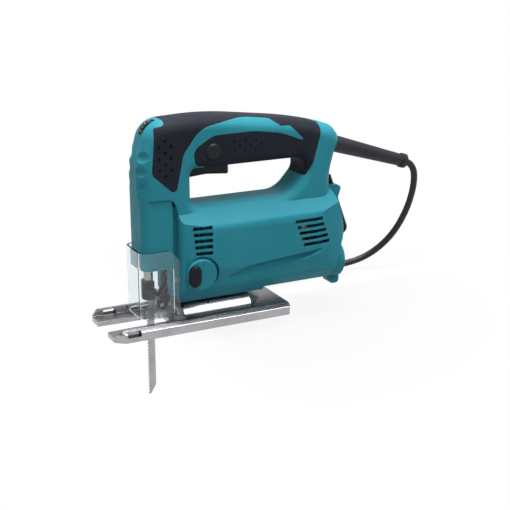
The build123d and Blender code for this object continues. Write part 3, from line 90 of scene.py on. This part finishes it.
class Shader:
    """A material's node tree, with short calls for the nodes that the finishes share."""

    def __init__(self, name):
        self.material = bpy.data.materials.new(name)
        self.material.use_nodes = True
        self.tree = self.material.node_tree
        self.bsdf = self.tree.nodes["Principled BSDF"]
        self.place = self.node("ShaderNodeTexCoord").outputs["Object"]

    def node(self, kind, **settings):
        made = self.tree.nodes.new(kind)
        for key, value in settings.items():
            setattr(made, key, value)
        return made

    def link(self, output, socket):
        self.tree.links.new(output, socket)

    def put(self, **values):
        """Set plain values on the shader's own sockets, spaces in their names as underscores."""
        for key, value in values.items():
            self.bsdf.inputs[key.replace("_", " ")].default_value = value

    def axes(self):
        """The place on the piece, as one output for each axis."""
        made = self.node("ShaderNodeSeparateXYZ")
        self.link(self.place, made.inputs["Vector"])
        return made.outputs

    def noise(self, scale, detail=3.0, stretch=(1, 1, 1)):
        place = self.place
        if stretch != (1, 1, 1):
            mapping = self.node("ShaderNodeMapping")
            mapping.inputs["Scale"].default_value = stretch
            self.link(place, mapping.inputs["Vector"])
            place = mapping.outputs["Vector"]
        made = self.node("ShaderNodeTexNoise")
        made.inputs["Scale"].default_value = scale
        made.inputs["Detail"].default_value = detail
        self.link(place, made.inputs["Vector"])
        return made.outputs["Fac"]

    def remap(self, value, low, high, to_low, to_high):
        made = self.node("ShaderNodeMapRange")
        for key, number in (
            ("From Min", low),
            ("From Max", high),
            ("To Min", to_low),
            ("To Max", to_high),
        ):
            made.inputs[key].default_value = number
        self.link(value, made.inputs["Value"])
        return made.outputs["Result"]

    def maths(self, operation, first, second):
        return tree_maths(self.tree, operation, first, second)

    def size(self, value):
        """The value without its sign."""
        return self.maths("ABSOLUTE", value, 0.0)

    def between(self, value, ends, soft):
        """1 where the value lies between two lengths in mm and 0 outside, with soft ends."""
        low, high = ends
        rise = self.remap(value, low * MM, (low + soft) * MM, 0.0, 1.0)
        fall = self.remap(value, (high - soft) * MM, high * MM, 1.0, 0.0)
        return self.maths("MULTIPLY", rise, fall)

    def mix(self, factor, first, second):
        """Mix of two colours, each a plain colour or an output."""
        made = self.node("ShaderNodeMix", data_type="RGBA")
        self.link(factor, made.inputs[0])
        for socket, value in ((made.inputs[6], first), (made.inputs[7], second)):
            if isinstance(value, tuple):
                socket.default_value = (*value, 1.0)
            else:
                self.link(value, socket)
        return made.outputs[2]

    def edges(self, radius):
        """1 along sharp edges and 0 on open surfaces, and the rounded normal."""
        bevel = self.node("ShaderNodeBevel", samples=4)
        bevel.inputs["Radius"].default_value = radius
        plain = self.node("ShaderNodeNewGeometry").outputs["Normal"]
        dot = self.node("ShaderNodeVectorMath", operation="DOT_PRODUCT")
        self.link(bevel.outputs["Normal"], dot.inputs[0])
        self.link(plain, dot.inputs[1])
        return self.remap(dot.outputs["Value"], 1.0, 0.75, 0.0, 1.0), bevel.outputs["Normal"]

    def bump(self, height, strength, depth, normal=None):
        made = self.node("ShaderNodeBump")
        made.inputs["Strength"].default_value = strength
        made.inputs["Distance"].default_value = depth
        self.link(height, made.inputs["Height"])
        if normal is not None:
            self.link(normal, made.inputs["Normal"])
        self.link(made.outputs["Normal"], self.bsdf.inputs["Normal"])

    def colour(self, output):
        self.link(output, self.bsdf.inputs["Base Color"])

    def paint(self, mask, over):
        """Lay a colour over the finish's own where the mask is 1."""
        own = self.bsdf.inputs["Base Color"].links[0].from_socket
        self.colour(self.mix(mask, own, over))

    def rough(self, output):
        self.link(output, self.bsdf.inputs["Roughness"])


MOULD_EDGE = 0.7 * MM
SCUFF_SCALE = 160.0
CLOUD_SCALE = 22.0
SHINE_SCALE = 70.0
GRAIN_STRENGTH = 0.35
METAL_EDGE = 0.5 * MM
DULL_SCALE = 45.0
EDGE_SHINE = 1.25
LAY_STRENGTH = 0.25


def moulded(name, base, light, worn, rough, grain, grain_depth):
    """Moulded plastic or rubber: faint clouding, fine spark-eroded grain and edges rubbed lighter."""
    s = Shader(name)
    edge_mask, rounded = s.edges(MOULD_EDGE)
    scuff = s.remap(s.noise(SCUFF_SCALE, 5.0), 0.35, 0.7, 0.15, 1.0)
    clouded = s.mix(s.remap(s.noise(CLOUD_SCALE), 0.3, 0.7, 0.0, 1.0), base, light)
    s.colour(s.mix(s.maths("MULTIPLY", edge_mask, scuff), clouded, worn))
    s.rough(s.remap(s.noise(SHINE_SCALE, 4.0), 0.3, 0.7, rough[0], rough[1]))
    s.bump(s.noise(grain, 2.0), GRAIN_STRENGTH, grain_depth, rounded)
    return s


def printed(name, base, light, worn, rough=(0.5, 0.6)):
    """Ink or a small dull detail, with hardly any grain."""
    return moulded(name, base, light, worn, rough, 3000.0, 0.01 * MM)


def metal(name, base, dull, rough, lay=(1, 1, 1), lay_scale=900.0, depth=0.03 * MM):
    """Worked metal: brushed or rolled lines along its lay, dull patches and bright edges."""
    s = Shader(name)
    edge_mask, rounded = s.edges(METAL_EDGE)
    lines = s.noise(lay_scale, 3.0, lay)
    patches = s.mix(s.remap(s.noise(DULL_SCALE, 4.0), 0.4, 0.75, 0.0, 1.0), base, dull)
    bright = tuple(min(1.0, c * EDGE_SHINE) for c in base)
    s.colour(s.mix(edge_mask, patches, bright))
    s.rough(s.remap(lines, 0.25, 0.75, rough[0], rough[1]))
    s.bump(lines, LAY_STRENGTH, depth, rounded)
    s.put(Metallic=1.0)
    return s


TEAL = (0.022, 0.215, 0.274)
TEAL_LIGHT = (0.027, 0.235, 0.296)
TEAL_WORN = (0.060, 0.330, 0.400)
TEAL_SEAM = (0.003, 0.050, 0.070)
CHARCOAL = (0.0135, 0.0150, 0.0225)
CHARCOAL_LIGHT = (0.017, 0.019, 0.028)
CHARCOAL_WORN = (0.042, 0.046, 0.060)
BLACK = (0.006, 0.008, 0.011)
BLACK_LIGHT = (0.009, 0.011, 0.015)
BLACK_WORN = (0.036, 0.040, 0.048)

# The halves meet in a fine seam along the middle plane
SEAM_HALF = 0.16 * MM
SEAM_END = 0.30 * MM
teal = moulded("teal_plastic", TEAL, TEAL_LIGHT, TEAL_WORN, (0.36, 0.48), 2600.0, 0.03 * MM)
teal.put(Specular_IOR_Level=0.09)
teal.paint(teal.remap(teal.size(teal.axes()["Y"]), SEAM_HALF, SEAM_END, 1.0, 0.0), TEAL_SEAM)

grip = moulded("grip_rubber", CHARCOAL, CHARCOAL_LIGHT, CHARCOAL_WORN, (0.50, 0.66), 1900.0, 0.09 * MM)
grip.put(Specular_IOR_Level=0.08, Sheen_Weight=0.02, Sheen_Roughness=0.45)
black = moulded("black_plastic", BLACK, BLACK_LIGHT, BLACK_WORN, (0.38, 0.52), 2300.0, 0.04 * MM)
black.put(Specular_IOR_Level=0.22)
lever = moulded("dark_lever", BLACK, BLACK_LIGHT, BLACK_WORN, (0.32, 0.44), 2300.0, 0.03 * MM)
lever.put(Specular_IOR_Level=0.14)
cord_rubber = moulded("cord_rubber", BLACK, CHARCOAL, BLACK_WORN, (0.44, 0.58), 1500.0, 0.05 * MM)
cord_rubber.put(Specular_IOR_Level=0.36)
carbon = moulded("carbon", BLACK_LIGHT, CHARCOAL_LIGHT, BLACK_WORN, (0.60, 0.75), 1200.0, 0.05 * MM)

# Ways that the lines of a metal run
ALONG_X = (0.05, 1.0, 1.0)
ALONG_Z = (1.0, 1.0, 0.06)
SHEETS = (1.0, 0.04, 0.04)  # stacked along X
TURNS = (1.0, 0.2, 0.2)  # wire wound round X

# The slope along each rail of the shoe is painted darker as shade, so that its two edges, left at the metal's
# own colour, read as bright lines, and the fence slots are painted dark inside as shade; the places are in mm
# from the slots' middle, from the middle plane and from the sole
RAIL_PAINTED_SHADE = (0.11, 0.11, 0.116)
RAIL_SLOPE_Y = (33.3, 37.6)
RAIL_SLOPE_Z = (7.6, 11.4)
SLOT_PAINTED_SHADE = (0.012, 0.012, 0.014)
SLOT_X = -28.6
SLOT_ALONG = (-1.0, 6.7)
SLOT_ACROSS = (30.1, 38.2)
SLOT_Z = (4.4, 9.6)
shoe_metal = metal("shoe_metal", (0.42, 0.42, 0.435), (0.33, 0.33, 0.345), (0.20, 0.33), ALONG_X, 700.0)
shoe_at = shoe_metal.axes()
from_slot = shoe_metal.size(shoe_metal.maths("SUBTRACT", shoe_at["X"], SLOT_X * MM))
from_middle = shoe_metal.size(shoe_at["Y"])
slope_shade_mask = shoe_metal.between(from_middle, RAIL_SLOPE_Y, 0.5)
slope_shade_mask = shoe_metal.maths("MULTIPLY", slope_shade_mask, shoe_metal.between(shoe_at["Z"], RAIL_SLOPE_Z, 0.3))
in_slot = shoe_metal.between(from_slot, SLOT_ALONG, 0.1)
in_slot = shoe_metal.maths("MULTIPLY", in_slot, shoe_metal.between(from_middle, SLOT_ACROSS, 0.1))
in_slot = shoe_metal.maths("MULTIPLY", in_slot, shoe_metal.between(shoe_at["Z"], SLOT_Z, 0.05))
# Painted shade: the rail slopes darker, and the fence slots dark inside
shoe_metal.paint(slope_shade_mask, RAIL_PAINTED_SHADE)
shoe_metal.paint(in_slot, SLOT_PAINTED_SHADE)

steel = metal("steel", (0.42, 0.42, 0.43), (0.33, 0.33, 0.34), (0.22, 0.34))
blade_steel = metal("blade_steel", (0.40, 0.40, 0.41), (0.29, 0.29, 0.31), (0.26, 0.42), ALONG_Z, 1200.0)
dark_steel = metal("dark_steel", (0.026, 0.026, 0.030), (0.016, 0.016, 0.019), (0.34, 0.48))
core_steel = metal(
    "core_steel", (0.16, 0.16, 0.17), (0.10, 0.10, 0.11), (0.40, 0.54), SHEETS, 2600.0, 0.08 * MM
)
bronze = metal("bronze", (0.10, 0.065, 0.035), (0.07, 0.045, 0.025), (0.34, 0.48))
copper = metal("copper", (0.12, 0.055, 0.032), (0.085, 0.04, 0.024), (0.30, 0.44))
pin_metal = metal("pin_metal", (0.70, 0.66, 0.55), (0.58, 0.54, 0.45), (0.20, 0.30))
winding = metal(
    "winding", (0.075, 0.028, 0.016), (0.05, 0.02, 0.012), (0.30, 0.42), TURNS, 1800.0, 0.2 * MM
)

clear = Shader("clear_cover")
clear.put(Base_Color=(0.90, 0.94, 0.95, 1.0), Transmission_Weight=0.995, IOR=1.42)
clear.rough(clear.remap(clear.noise(120.0, 4.0), 0.4, 0.8, 0.02, 0.10))
clear.bump(clear.noise(35.0, 2.0), 0.05, 0.1 * MM)

print_white = printed("print_white", (0.62, 0.60, 0.58), (0.70, 0.68, 0.66), (0.75, 0.74, 0.72))
print_red = printed("print_red", (0.42, 0.045, 0.05), (0.50, 0.06, 0.06), (0.6, 0.2, 0.2))
print_dark = printed("print_dark", (0.006, 0.022, 0.034), (0.009, 0.028, 0.042), TEAL)
# The grip's dots are painted near-black as shade, so that they read as dimples
dot_painted_shade = printed(
    "dot_painted_shade", (0.0020, 0.0022, 0.0030), (0.0030, 0.0034, 0.0044), (0.010, 0.011, 0.013), (0.6, 0.7)
)
dot_painted_shade.put(Specular_IOR_Level=0.06)

finishes = {
    "teal_plastic": teal,
    "grip_rubber": grip,
    "black_plastic": black,
    "dark_lever": lever,
    "clear_cover": clear,
    "shoe_metal": shoe_metal,
    "steel": steel,
    "blade_steel": blade_steel,
    "dark_steel": dark_steel,
    "core_steel": core_steel,
    "winding": winding,
    "copper": copper,
    "bronze": bronze,
    "carbon": carbon,
    "cord_rubber": cord_rubber,
    "pin_metal": pin_metal,
}

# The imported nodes, welded and smooth up to their sharp edges
SMOOTH_ANGLE = radians(26)
WELD_GAP = 0.002 * MM
for row in frame["record"]["subparts"]:
    obj = nodes[row["node"]]
    obj.data.materials.clear()
    obj.data.materials.append(finishes[row["material_slot"]].material)
    for polygon in obj.data.polygons:
        polygon.use_smooth = True
    weld = obj.modifiers.new("weld", "WELD")
    weld.merge_threshold = WELD_GAP
    crease = obj.modifiers.new("crease", "EDGE_SPLIT")
    crease.split_angle = SMOOTH_ANGLE

# The curved recess along each flank goes deeper than in the solids, under an overhanging upper edge
FLANK_EDGES = (  # x, and the heights of the upper and the lower edge
    (70.0, 45.4, 44.8),
    (74.0, 46.8, 44.6),
    (78.0, 48.6, 44.5),
    (82.0, 50.3, 44.4),
    (90.5, 53.3, 44.4),
    (98.0, 54.6, 45.0),
    (105.0, 55.1, 45.8),
    (112.0, 55.6, 46.7),
    (123.0, 56.4, 48.0),
    (134.0, 57.3, 49.8),
    (145.0, 58.1, 52.0),
    (156.0, 58.9, 54.7),
    (165.0, 59.6, 57.3),
    (172.5, 60.2, 59.7),
)
FLANK_HALF = 31.5
FLANK_BEND_Z = 54.0
FLANK_LEAN = 5.0 / 18.0  # of the flank below its bend
FLANK_FLOOR = 27.3  # from the middle plane; the wall's inner face is at about 26.4
FLANK_TAPER = 1.0  # depth to height near both ends
CUTTER_REACH = 12.0
CUTTER_DROP = 6.0
AFTER_WELD = 1
for side, tag in SIDES:
    shape = bmesh.new()
    rings = []
    for x, high, low in FLANK_EDGES:
        half = FLANK_HALF - max(0.0, FLANK_BEND_Z - high) * FLANK_LEAN
        floor = max(FLANK_FLOOR, half - FLANK_TAPER * (high - low))
        outside = floor + CUTTER_REACH
        outline = ((outside, high), (floor, high), (floor, low), (outside, low - CUTTER_DROP))
        rings.append([shape.verts.new((x * MM, side * y * MM, z * MM)) for y, z in outline])
    for near, far in zip(rings, rings[1:]):
        for i in range(len(near)):
            shape.faces.new((near[i], near[i - 1], far[i - 1], far[i]))
    shape.faces.new(rings[0])
    shape.faces.new(rings[-1])
    bmesh.ops.triangulate(shape, faces=shape.faces[:])
    bmesh.ops.recalc_face_normals(shape, faces=shape.faces[:])
    cutter_mesh = bpy.data.meshes.new("flank_cutter_" + tag)
    shape.to_mesh(cutter_mesh)
    shape.free()
    cutter_mesh.materials.append(teal.material)
    half_shell = nodes["housing_" + tag]
    cut = half_shell.modifiers.new("flank", "BOOLEAN")
    cut.object = bpy.data.objects.new("flank_cutter_" + tag, cutter_mesh)
    cut.operation = "DIFFERENCE"
    cut.solver = "EXACT"
    half_shell.modifiers.move(len(half_shell.modifiers) - 1, AFTER_WELD)


# Added pieces
def piece(name, mesh_or_curve, finish, body):
    """Put a new piece in the scene with its finish, on the body that carries it."""
    obj = bpy.data.objects.new(name, mesh_or_curve)
    scene.collection.objects.link(obj)
    mesh_or_curve.materials.append(finish.material)
    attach(obj, body)
    return obj


def mesh_piece(name, corners, faces, finish, body):
    """A new mesh piece from corners in millimetres."""
    mesh = bpy.data.meshes.new(name)
    mesh.from_pydata([Vector(c) * MM for c in corners], [], faces)
    work = bmesh.new()
    work.from_mesh(mesh)
    bmesh.ops.recalc_face_normals(work, faces=work.faces)
    work.to_mesh(mesh)
    work.free()
    return piece(name, mesh, finish, body)


def ring_band(corners, faces, lower, upper):
    """Join two rings of corners, given in the same order, with a closed band of faces."""
    start = len(corners)
    corners += lower + upper
    count = len(lower)
    for i in range(count):
        j = (i + 1) % count
        faces.append((start + i, start + j, start + count + j, start + count + i))


def plate(corners, faces, outline, lift):
    """Closed plate on an outline, thickened by the lift."""
    top = [tuple(a + b for a, b in zip(c, lift)) for c in outline]
    ring_band(corners, faces, list(outline), top)
    start = len(corners) - 2 * len(outline)
    faces.append(tuple(range(start, start + len(outline))))
    faces.append(tuple(range(start + len(outline), start + 2 * len(outline))))


def number_piece(name, text, height, place, x_axis, y_axis, finish, body):
    """A plain printed number, standing on a face that its two axes span."""
    curve = bpy.data.curves.new(name, "FONT")
    curve.body = text
    curve.size = height * MM
    curve.extrude = 0.03 * MM
    curve.align_x = "CENTER"
    curve.align_y = "CENTER"
    curve.resolution_u = 3
    obj = piece(name, curve, finish, body)
    x_axis = Vector(x_axis).normalized()
    y_axis = Vector(y_axis).normalized()
    turn = Matrix((x_axis, y_axis, x_axis.cross(y_axis))).transposed().to_4x4()
    obj.matrix_world = Matrix.Translation(Vector(place) * MM) @ turn


SQUARE = ((-1, -1), (1, -1), (1, 1), (-1, 1))

# Raised dots on the grip, on both flat sides of the nose and of the arch, painted near-black as the shade of
# dimples
GRIP_HALF = 20.5
DOT_TALL = 0.7
DOT_SUNK = 0.05
DOT_SIDES = 12
DOT_RINGS = (1.0, 0.82, 0.5)  # shares of the dot's radius
NOSE_DOT_R = 1.5
NOSE_DOT_X = 12.5
NOSE_DOT_APART = 5.8
NOSE_DOT_LOW_Z = 146.0
NOSE_DOT_ROW = 5.4
NOSE_DOT_ROWS = 7
ARCH_DOT_R = 1.1
ARCH_DOT_X = 81.0
ARCH_DOT_APART = 5.5
ARCH_DOT_LOW_Z = 162.8
ARCH_DOT_ROW = 4.3
ARCH_DOT_COLUMNS = 6
dot_places = []
for row in range(NOSE_DOT_ROWS):
    for shift in (-NOSE_DOT_APART, NOSE_DOT_APART) if row % 2 else (0.0,):
        dot_places.append((NOSE_DOT_X + shift, NOSE_DOT_LOW_Z + row * NOSE_DOT_ROW, NOSE_DOT_R))
for column in range(ARCH_DOT_COLUMNS):
    dot_x = ARCH_DOT_X + column * ARCH_DOT_APART
    for row in (1,) if column % 2 else (0, 2):
        dot_places.append((dot_x, ARCH_DOT_LOW_Z + row * ARCH_DOT_ROW, ARCH_DOT_R))
for side, tag in SIDES:
    corners = []
    faces = []
    for dot_x, dot_z, dot_r in dot_places:
        rings = []
        for share in DOT_RINGS:
            tall = DOT_TALL * (1 - share**2) - DOT_SUNK
            ring = []
            for i in range(DOT_SIDES):
                angle = 2 * pi * i / DOT_SIDES
                x = dot_x + dot_r * share * cos(angle)
                z = dot_z + dot_r * share * sin(angle)
                ring.append((x, side * (GRIP_HALF + tall), z))
            rings.append(ring)
        ring_band(corners, faces, rings[0], rings[1])
        ring_band(corners, faces, rings[1], rings[2])
        faces.append(tuple(range(len(corners) - DOT_SIDES, len(corners))))
    dots = mesh_piece("grip_dots_" + tag, corners, faces, dot_painted_shade, "housing")
    for polygon in dots.data.polygons:
        polygon.use_smooth = True

# Numbers on the face of the orbit dial
DIAL_X = 42.5
DIAL_Z = 51.3
DIAL_FACE_Y = -31.0
ORBIT_NUMBERS = 4
ORBIT_NUMBER_R = 10.6
ORBIT_NUMBER_TALL = 4.6
ORBIT_FIRST_ANGLE = 84
ORBIT_ANGLE_STEP = 31
for i in range(ORBIT_NUMBERS):
    angle = radians(ORBIT_FIRST_ANGLE - ORBIT_ANGLE_STEP * i)
    place = (DIAL_X + ORBIT_NUMBER_R * cos(angle), DIAL_FACE_Y, DIAL_Z + ORBIT_NUMBER_R * sin(angle))
    number_piece(
        f"orbit_number_{i}",
        str(i),
        ORBIT_NUMBER_TALL,
        place,
        (1, 0, 0),
        (0, 0, 1),
        print_dark,
        "orbit_selector",
    )

# Numbers round the speed wheel, on every second flat between its notches, and a mark on each flat between
WHEEL_X = 8.0
WHEEL_Z = 182.5
WHEEL_R = 11.0
WHEEL_NOTCHES = 18
WHEEL_FLAT = 0.6  # share of a notch's pitch that is flat
WHEEL_FIRST = 5
SPEED_NUMBERS = 6
SPEED_NUMBER_TALL = 3.2
MARK_HALF_WIDE = 0.8
MARK_HALF_LONG = 2
MARK_TALL = 0.04
flat_away = WHEEL_R * cos(pi * WHEEL_FLAT / WHEEL_NOTCHES)


def on_wheel(flat):
    """Middle of one of the wheel's flats, the way out of it and the way along its rim."""
    angle = 2 * pi * (flat + WHEEL_FLAT / 2) / WHEEL_NOTCHES
    out = Vector((cos(angle), 0, sin(angle)))
    return Vector((WHEEL_X, 0, WHEEL_Z)) + out * flat_away, out, Vector((0, 1, 0)).cross(out)


corners = []
faces = []
for i in range(SPEED_NUMBERS):
    flat = WHEEL_FIRST + 2 * i
    middle, out, along = on_wheel(flat)
    number_piece(
        f"speed_number_{i + 1}",
        str(i + 1),
        SPEED_NUMBER_TALL,
        middle,
        (0, -1, 0),
        along,
        print_white,
        "speed_dial",
    )
    middle, out, along = on_wheel(flat + 1)
    mark = [middle + along * (u * MARK_HALF_WIDE) + Vector((0, v * MARK_HALF_LONG, 0)) for u, v in SQUARE]
    plate(corners, faces, mark, out * MARK_TALL)
mesh_piece("speed_marks", corners, faces, print_red, "speed_dial")

# Lines of the tilt scale on the shoe's hump and the body above it, and the pointer under the saddle's edge
HUMP_R = 22.8
SCALE_X = (89.2, 90.9, 92.6)
SCALE_STEPS = ((46, 41), (41, 36), (36, 31))  # degrees from straight up
LINE_WIDE = 0.5
LINE_SUNK = 0.02
LINE_TALL = 0.06
INDEX_LONG = 4
INDEX_LOW = Vector((0, -16.0, 23.56))
INDEX_UP = Vector((0, -0.645, 0.765))
INDEX_OUT = Vector((0, -0.765, -0.645))
POINTER_X = 55.0
POINTER_HALF = 2.8
POINTER_TIP_HALF = 0.15
POINTER_TOP = 20.0
POINTER_TIP = 42.0
POINTER_GAP = 0.25
POINTER_TALL = 1.2
POINTER_STEPS = 4


def on_hump(x, degrees, radius):
    """Point over the left side of the hump, its angle taken from straight up."""
    return (x, -radius * sin(radians(degrees)), radius * cos(radians(degrees)))


def line_corners(x, low, high):
    """Corners of a line at x: along X, and from its low end to its high end."""
    return ((x, low), (x + LINE_WIDE, low), (x + LINE_WIDE, high), (x, high))


corners = []
faces = []
for x in SCALE_X:
    for low, high in SCALE_STEPS:
        line = [on_hump(u, angle, HUMP_R - LINE_SUNK) for u, angle in line_corners(x, low, high)]
        plate(corners, faces, line, Vector(on_hump(0, (low + high) / 2, LINE_TALL)))
mesh_piece("tilt_scale", corners, faces, print_dark, "shoe")

corners = []
faces = []
for x in SCALE_X:
    line = []
    for u, t in line_corners(x, 0, INDEX_LONG):
        line.append(Vector((u, 0, 0)) + INDEX_LOW + INDEX_UP * t - INDEX_OUT * LINE_SUNK)
    plate(corners, faces, line, INDEX_OUT * LINE_TALL)
mesh_piece("tilt_index", corners, faces, print_dark, "housing")

corners = []
faces = []
for i in range(POINTER_STEPS):
    ends = []
    for k in (i, i + 1):
        share = k / POINTER_STEPS
        half = POINTER_HALF * (1 - share) + POINTER_TIP_HALF
        ends.append((POINTER_TOP + (POINTER_TIP - POINTER_TOP) * share, half))
    (top, wide), (low, narrow) = ends
    outline = ((-wide, top), (wide, top), (narrow, low), (-narrow, low))
    wedge = [on_hump(POINTER_X + u, angle, HUMP_R + POINTER_GAP) for u, angle in outline]
    plate(corners, faces, wedge, Vector(on_hump(0, (top + low) / 2, POINTER_TALL)))
mesh_piece("tilt_pointer", corners, faces, black, "saddle")

# Dark crosses on the heads of the housing's screws, painted as the shade of their cross recesses
SCREWS = ((16.0, 128.5), (176.0, 173.0), (181.0, 104.0), (134.0, 34.0), (112.0, 103.0), (62.0, 103.0))
SCREW_FACE_Y = 14.6
CROSS_LONG = 1.9
CROSS_HALF = 0.45
CROSS_SUNK = 0.1
CROSS_TALL = 0.13
corners = []
faces = []
for x, z in SCREWS:
    for a, b in ((CROSS_LONG, CROSS_HALF), (CROSS_HALF, CROSS_LONG)):
        bar = [(x + u * a, SCREW_FACE_Y - CROSS_SUNK, z + v * b) for u, v in SQUARE]
        plate(corners, faces, bar, (0, CROSS_TALL, 0))
mesh_piece("screw_crosses", corners, faces, carbon, "housing")

# Cord: straight out of its guard, down to the bench and wound behind the tool, its plug beside the coil
CORD_D = 6.8
COIL_TURNS = 3
COIL_PITCH = 7.4
COIL_OUT_R = 52.0
COIL_X = 168.0
COIL_Y = 112.0
COIL_LOW_Z = 4.8
HALF_TURN_POINTS = 10
LEAD_ROUTE = [
    (283.0, 0.0, 128.9),
    (293.5, 0.0, 125.63),
    (300.0, 3.0, 106.0),
    (302.0, 17.0, 72.0),
    (297.0, 38.0, 36.0),
    (275.0, 52.0, 12.0),
    (243.0, 58.0, 5.2),
    (207.0, 60.0, 4.8),
    (174.8, 60.0, 4.8),
]
TAIL_ROUTE = [
    (161.2, 60.0, 12.2),
    (138.0, 60.0, 12.2),
    (112.0, 60.0, 7.0),
    (90.0, 60.0, 7.0),
]
# Half turns inward on the bench, one that climbs, and outward again on top of them
step = COIL_PITCH / 2
inward = [COIL_OUT_R - i * step for i in range(2 * COIL_TURNS)]
climb = COIL_OUT_R - 2 * COIL_TURNS * step
wound = []
y = COIL_Y - COIL_OUT_R
z = COIL_LOW_Z
way = 1
for radius in inward + [climb] + inward[:0:-1]:
    rise = COIL_PITCH if radius == climb else 0.0
    for i in range(HALF_TURN_POINTS):
        angle = pi * i / HALF_TURN_POINTS
        lift = (1 - cos(angle)) / 2
        wound.append((COIL_X - way * radius * sin(angle), y + 2 * way * radius * lift, z + rise * lift))
    y += 2 * way * radius
    z += rise
    way = -way
route = LEAD_ROUTE + wound + [(COIL_X, y, z)] + TAIL_ROUTE

cord_curve = bpy.data.curves.new("mains_cord", "CURVE")
cord_curve.dimensions = "3D"
cord_curve.bevel_depth = CORD_D / 2 * MM
cord_curve.bevel_resolution = 5
cord_curve.use_fill_caps = True
spline = cord_curve.splines.new("NURBS")
spline.points.add(len(route) - 1)
for point, place in zip(spline.points, route):
    point.co = (*(Vector(place) * MM), 1.0)
spline.order_u = 3
spline.use_endpoint_u = True
spline.resolution_u = 6
mains_cord = piece("mains_cord", cord_curve, cord_rubber, "housing")
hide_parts("cord_lead", "cord_coil", "cord_tail")

# Stage: the bench under the tool and the cord, lower under the shoe so that it can tilt, and the floor in
# front of it, under the blade
STAGE_SPAN = 3.0
BENCH_EDGE_X = 9.0 * MM
BENCH_STEP_Y = 40.0 * MM
BENCH_STEP_Z = -11.0 * MM
FLOOR_Z = -90.0 * MM
PAPER_GREY = (0.28, 0.28, 0.29, 1.0)
SHADE_SHARE = 0.09  # of the paper's own shade that stays, near the object
SHADE_CENTRE = (0.12, 0.03, 0.0)
SHADE_NEAR = 0.10
SHADE_FAR = 0.27
SHADE_FADE = 0.06


def seen_rays(tree, kinds):
    """1 for what the camera sees, straight or by the kinds of ray named, and 0 for light elsewhere."""
    rays = tree.nodes.new("ShaderNodeLightPath")
    found = rays.outputs["Is Camera Ray"]
    for kind in kinds:
        found = tree_maths(tree, "MAXIMUM", found, rays.outputs[kind])
    return found


def paper(name, share):
    """White paper; a share of its own shade is left near the object, so that the shadow shows."""
    s = Shader(name)
    s.put(Base_Color=PAPER_GREY, Roughness=0.9)
    away = s.node("ShaderNodeVectorMath", operation="DISTANCE")
    away.inputs[1].default_value = SHADE_CENTRE
    s.link(s.place, away.inputs[0])
    near = s.remap(away.outputs["Value"], SHADE_NEAR, SHADE_FAR, share, 0.0)
    inner = s.remap(s.axes()["X"], BENCH_EDGE_X, BENCH_EDGE_X + SHADE_FADE, 0.0, 1.0)
    white = s.maths("SUBTRACT", 1.0, s.maths("MULTIPLY", near, inner))
    seen = seen_rays(s.tree, ("Is Glossy Ray", "Is Transmission Ray"))
    glow = s.node("ShaderNodeEmission")
    blend = s.node("ShaderNodeMixShader")
    s.link(s.maths("MULTIPLY", seen, white), blend.inputs["Fac"])
    s.link(s.bsdf.outputs["BSDF"], blend.inputs[1])
    s.link(glow.outputs["Emission"], blend.inputs[2])
    s.link(blend.outputs["Shader"], s.tree.nodes["Material Output"].inputs["Surface"])
    return s.material


def sheet_of(name, corners, material):
    """One flat sheet of the stage."""
    mesh = bpy.data.meshes.new(name)
    mesh.from_pydata(corners, [], [tuple(range(len(corners)))])
    obj = bpy.data.objects.new(name, mesh)
    mesh.materials.append(material)
    scene.collection.objects.link(obj)


paper_material = paper("stage_paper", SHADE_SHARE)
far = STAGE_SPAN
edge = BENCH_EDGE_X
step = BENCH_STEP_Y
low = BENCH_STEP_Z
ground = FLOOR_Z
front_outline = [
    (edge, -far, ground),
    (edge, -far, low),
    (edge, step, low),
    (edge, step, 0),
    (edge, far, 0),
    (edge, far, ground),
]
sheet_of("bench_top", [(edge, step, 0), (far, step, 0), (far, far, 0), (edge, far, 0)], paper_material)
sheet_of(
    "bench_step",
    [(edge, step, low), (far, step, low), (far, step, 0), (edge, step, 0)],
    paper("stage_step", 0.0),
)
sheet_of(
    "bench_low",
    [(edge, -far, low), (far, -far, low), (far, step, low), (edge, step, low)],
    paper_material,
)
sheet_of("bench_front", front_outline, paper_material)
sheet_of(
    "floor",
    [(-far, -far, ground), (edge, -far, ground), (edge, far, ground), (-far, far, ground)],
    paper_material,
)

# Surroundings: white to the eye, dimmer in reflections and dimmer still as light on the surfaces
AMBIENT = 0.18
MIRRORED_SKY = 0.5
world = bpy.data.worlds.new("studio")
scene.world = world
world.use_nodes = True
sky = world.node_tree
background = sky.nodes["Background"]
level = sky.nodes.new("ShaderNodeMapRange")
level.inputs["To Min"].default_value = AMBIENT
level.inputs["To Max"].default_value = 1.0
sky.links.new(seen_rays(sky, ("Is Transmission Ray",)), level.inputs["Value"])
glossy = sky.nodes.new("ShaderNodeLightPath").outputs["Is Glossy Ray"]
mirrored = tree_maths(sky, "MULTIPLY", glossy, MIRRORED_SKY)
strength = tree_maths(sky, "MAXIMUM", level.outputs["Result"], mirrored)
sky.links.new(strength, background.inputs["Strength"])
background.inputs["Color"].default_value = (1.0, 1.0, 1.0, 1.0)


# Light: a large soft key overhead, weaker ones in front and to the right on the near side, a faint one behind
def softbox(name, place, size, power):
    """A round area light that points at the tool."""
    light = bpy.data.lights.new(name, "AREA")
    light.shape = "DISK"
    light.size = size
    light.energy = power
    obj = bpy.data.objects.new(name, light)
    obj.location = place
    obj.rotation_mode = "QUATERNION"
    obj.rotation_quaternion = (LIGHT_AIM - Vector(place)).to_track_quat("-Z", "Y")
    scene.collection.objects.link(obj)


LIGHT_AIM = Vector((0.09, 0.0, 0.08))
softbox("key", (0.12, -0.05, 1.7), 1.0, 50.0)
softbox("front", (-1.3, -0.45, 0.55), 0.7, 4.0)
softbox("side", (0.83, -0.95, 1.45), 0.9, 14.0)
softbox("rear", (0.6, 1.1, 1.2), 0.8, 1.8)
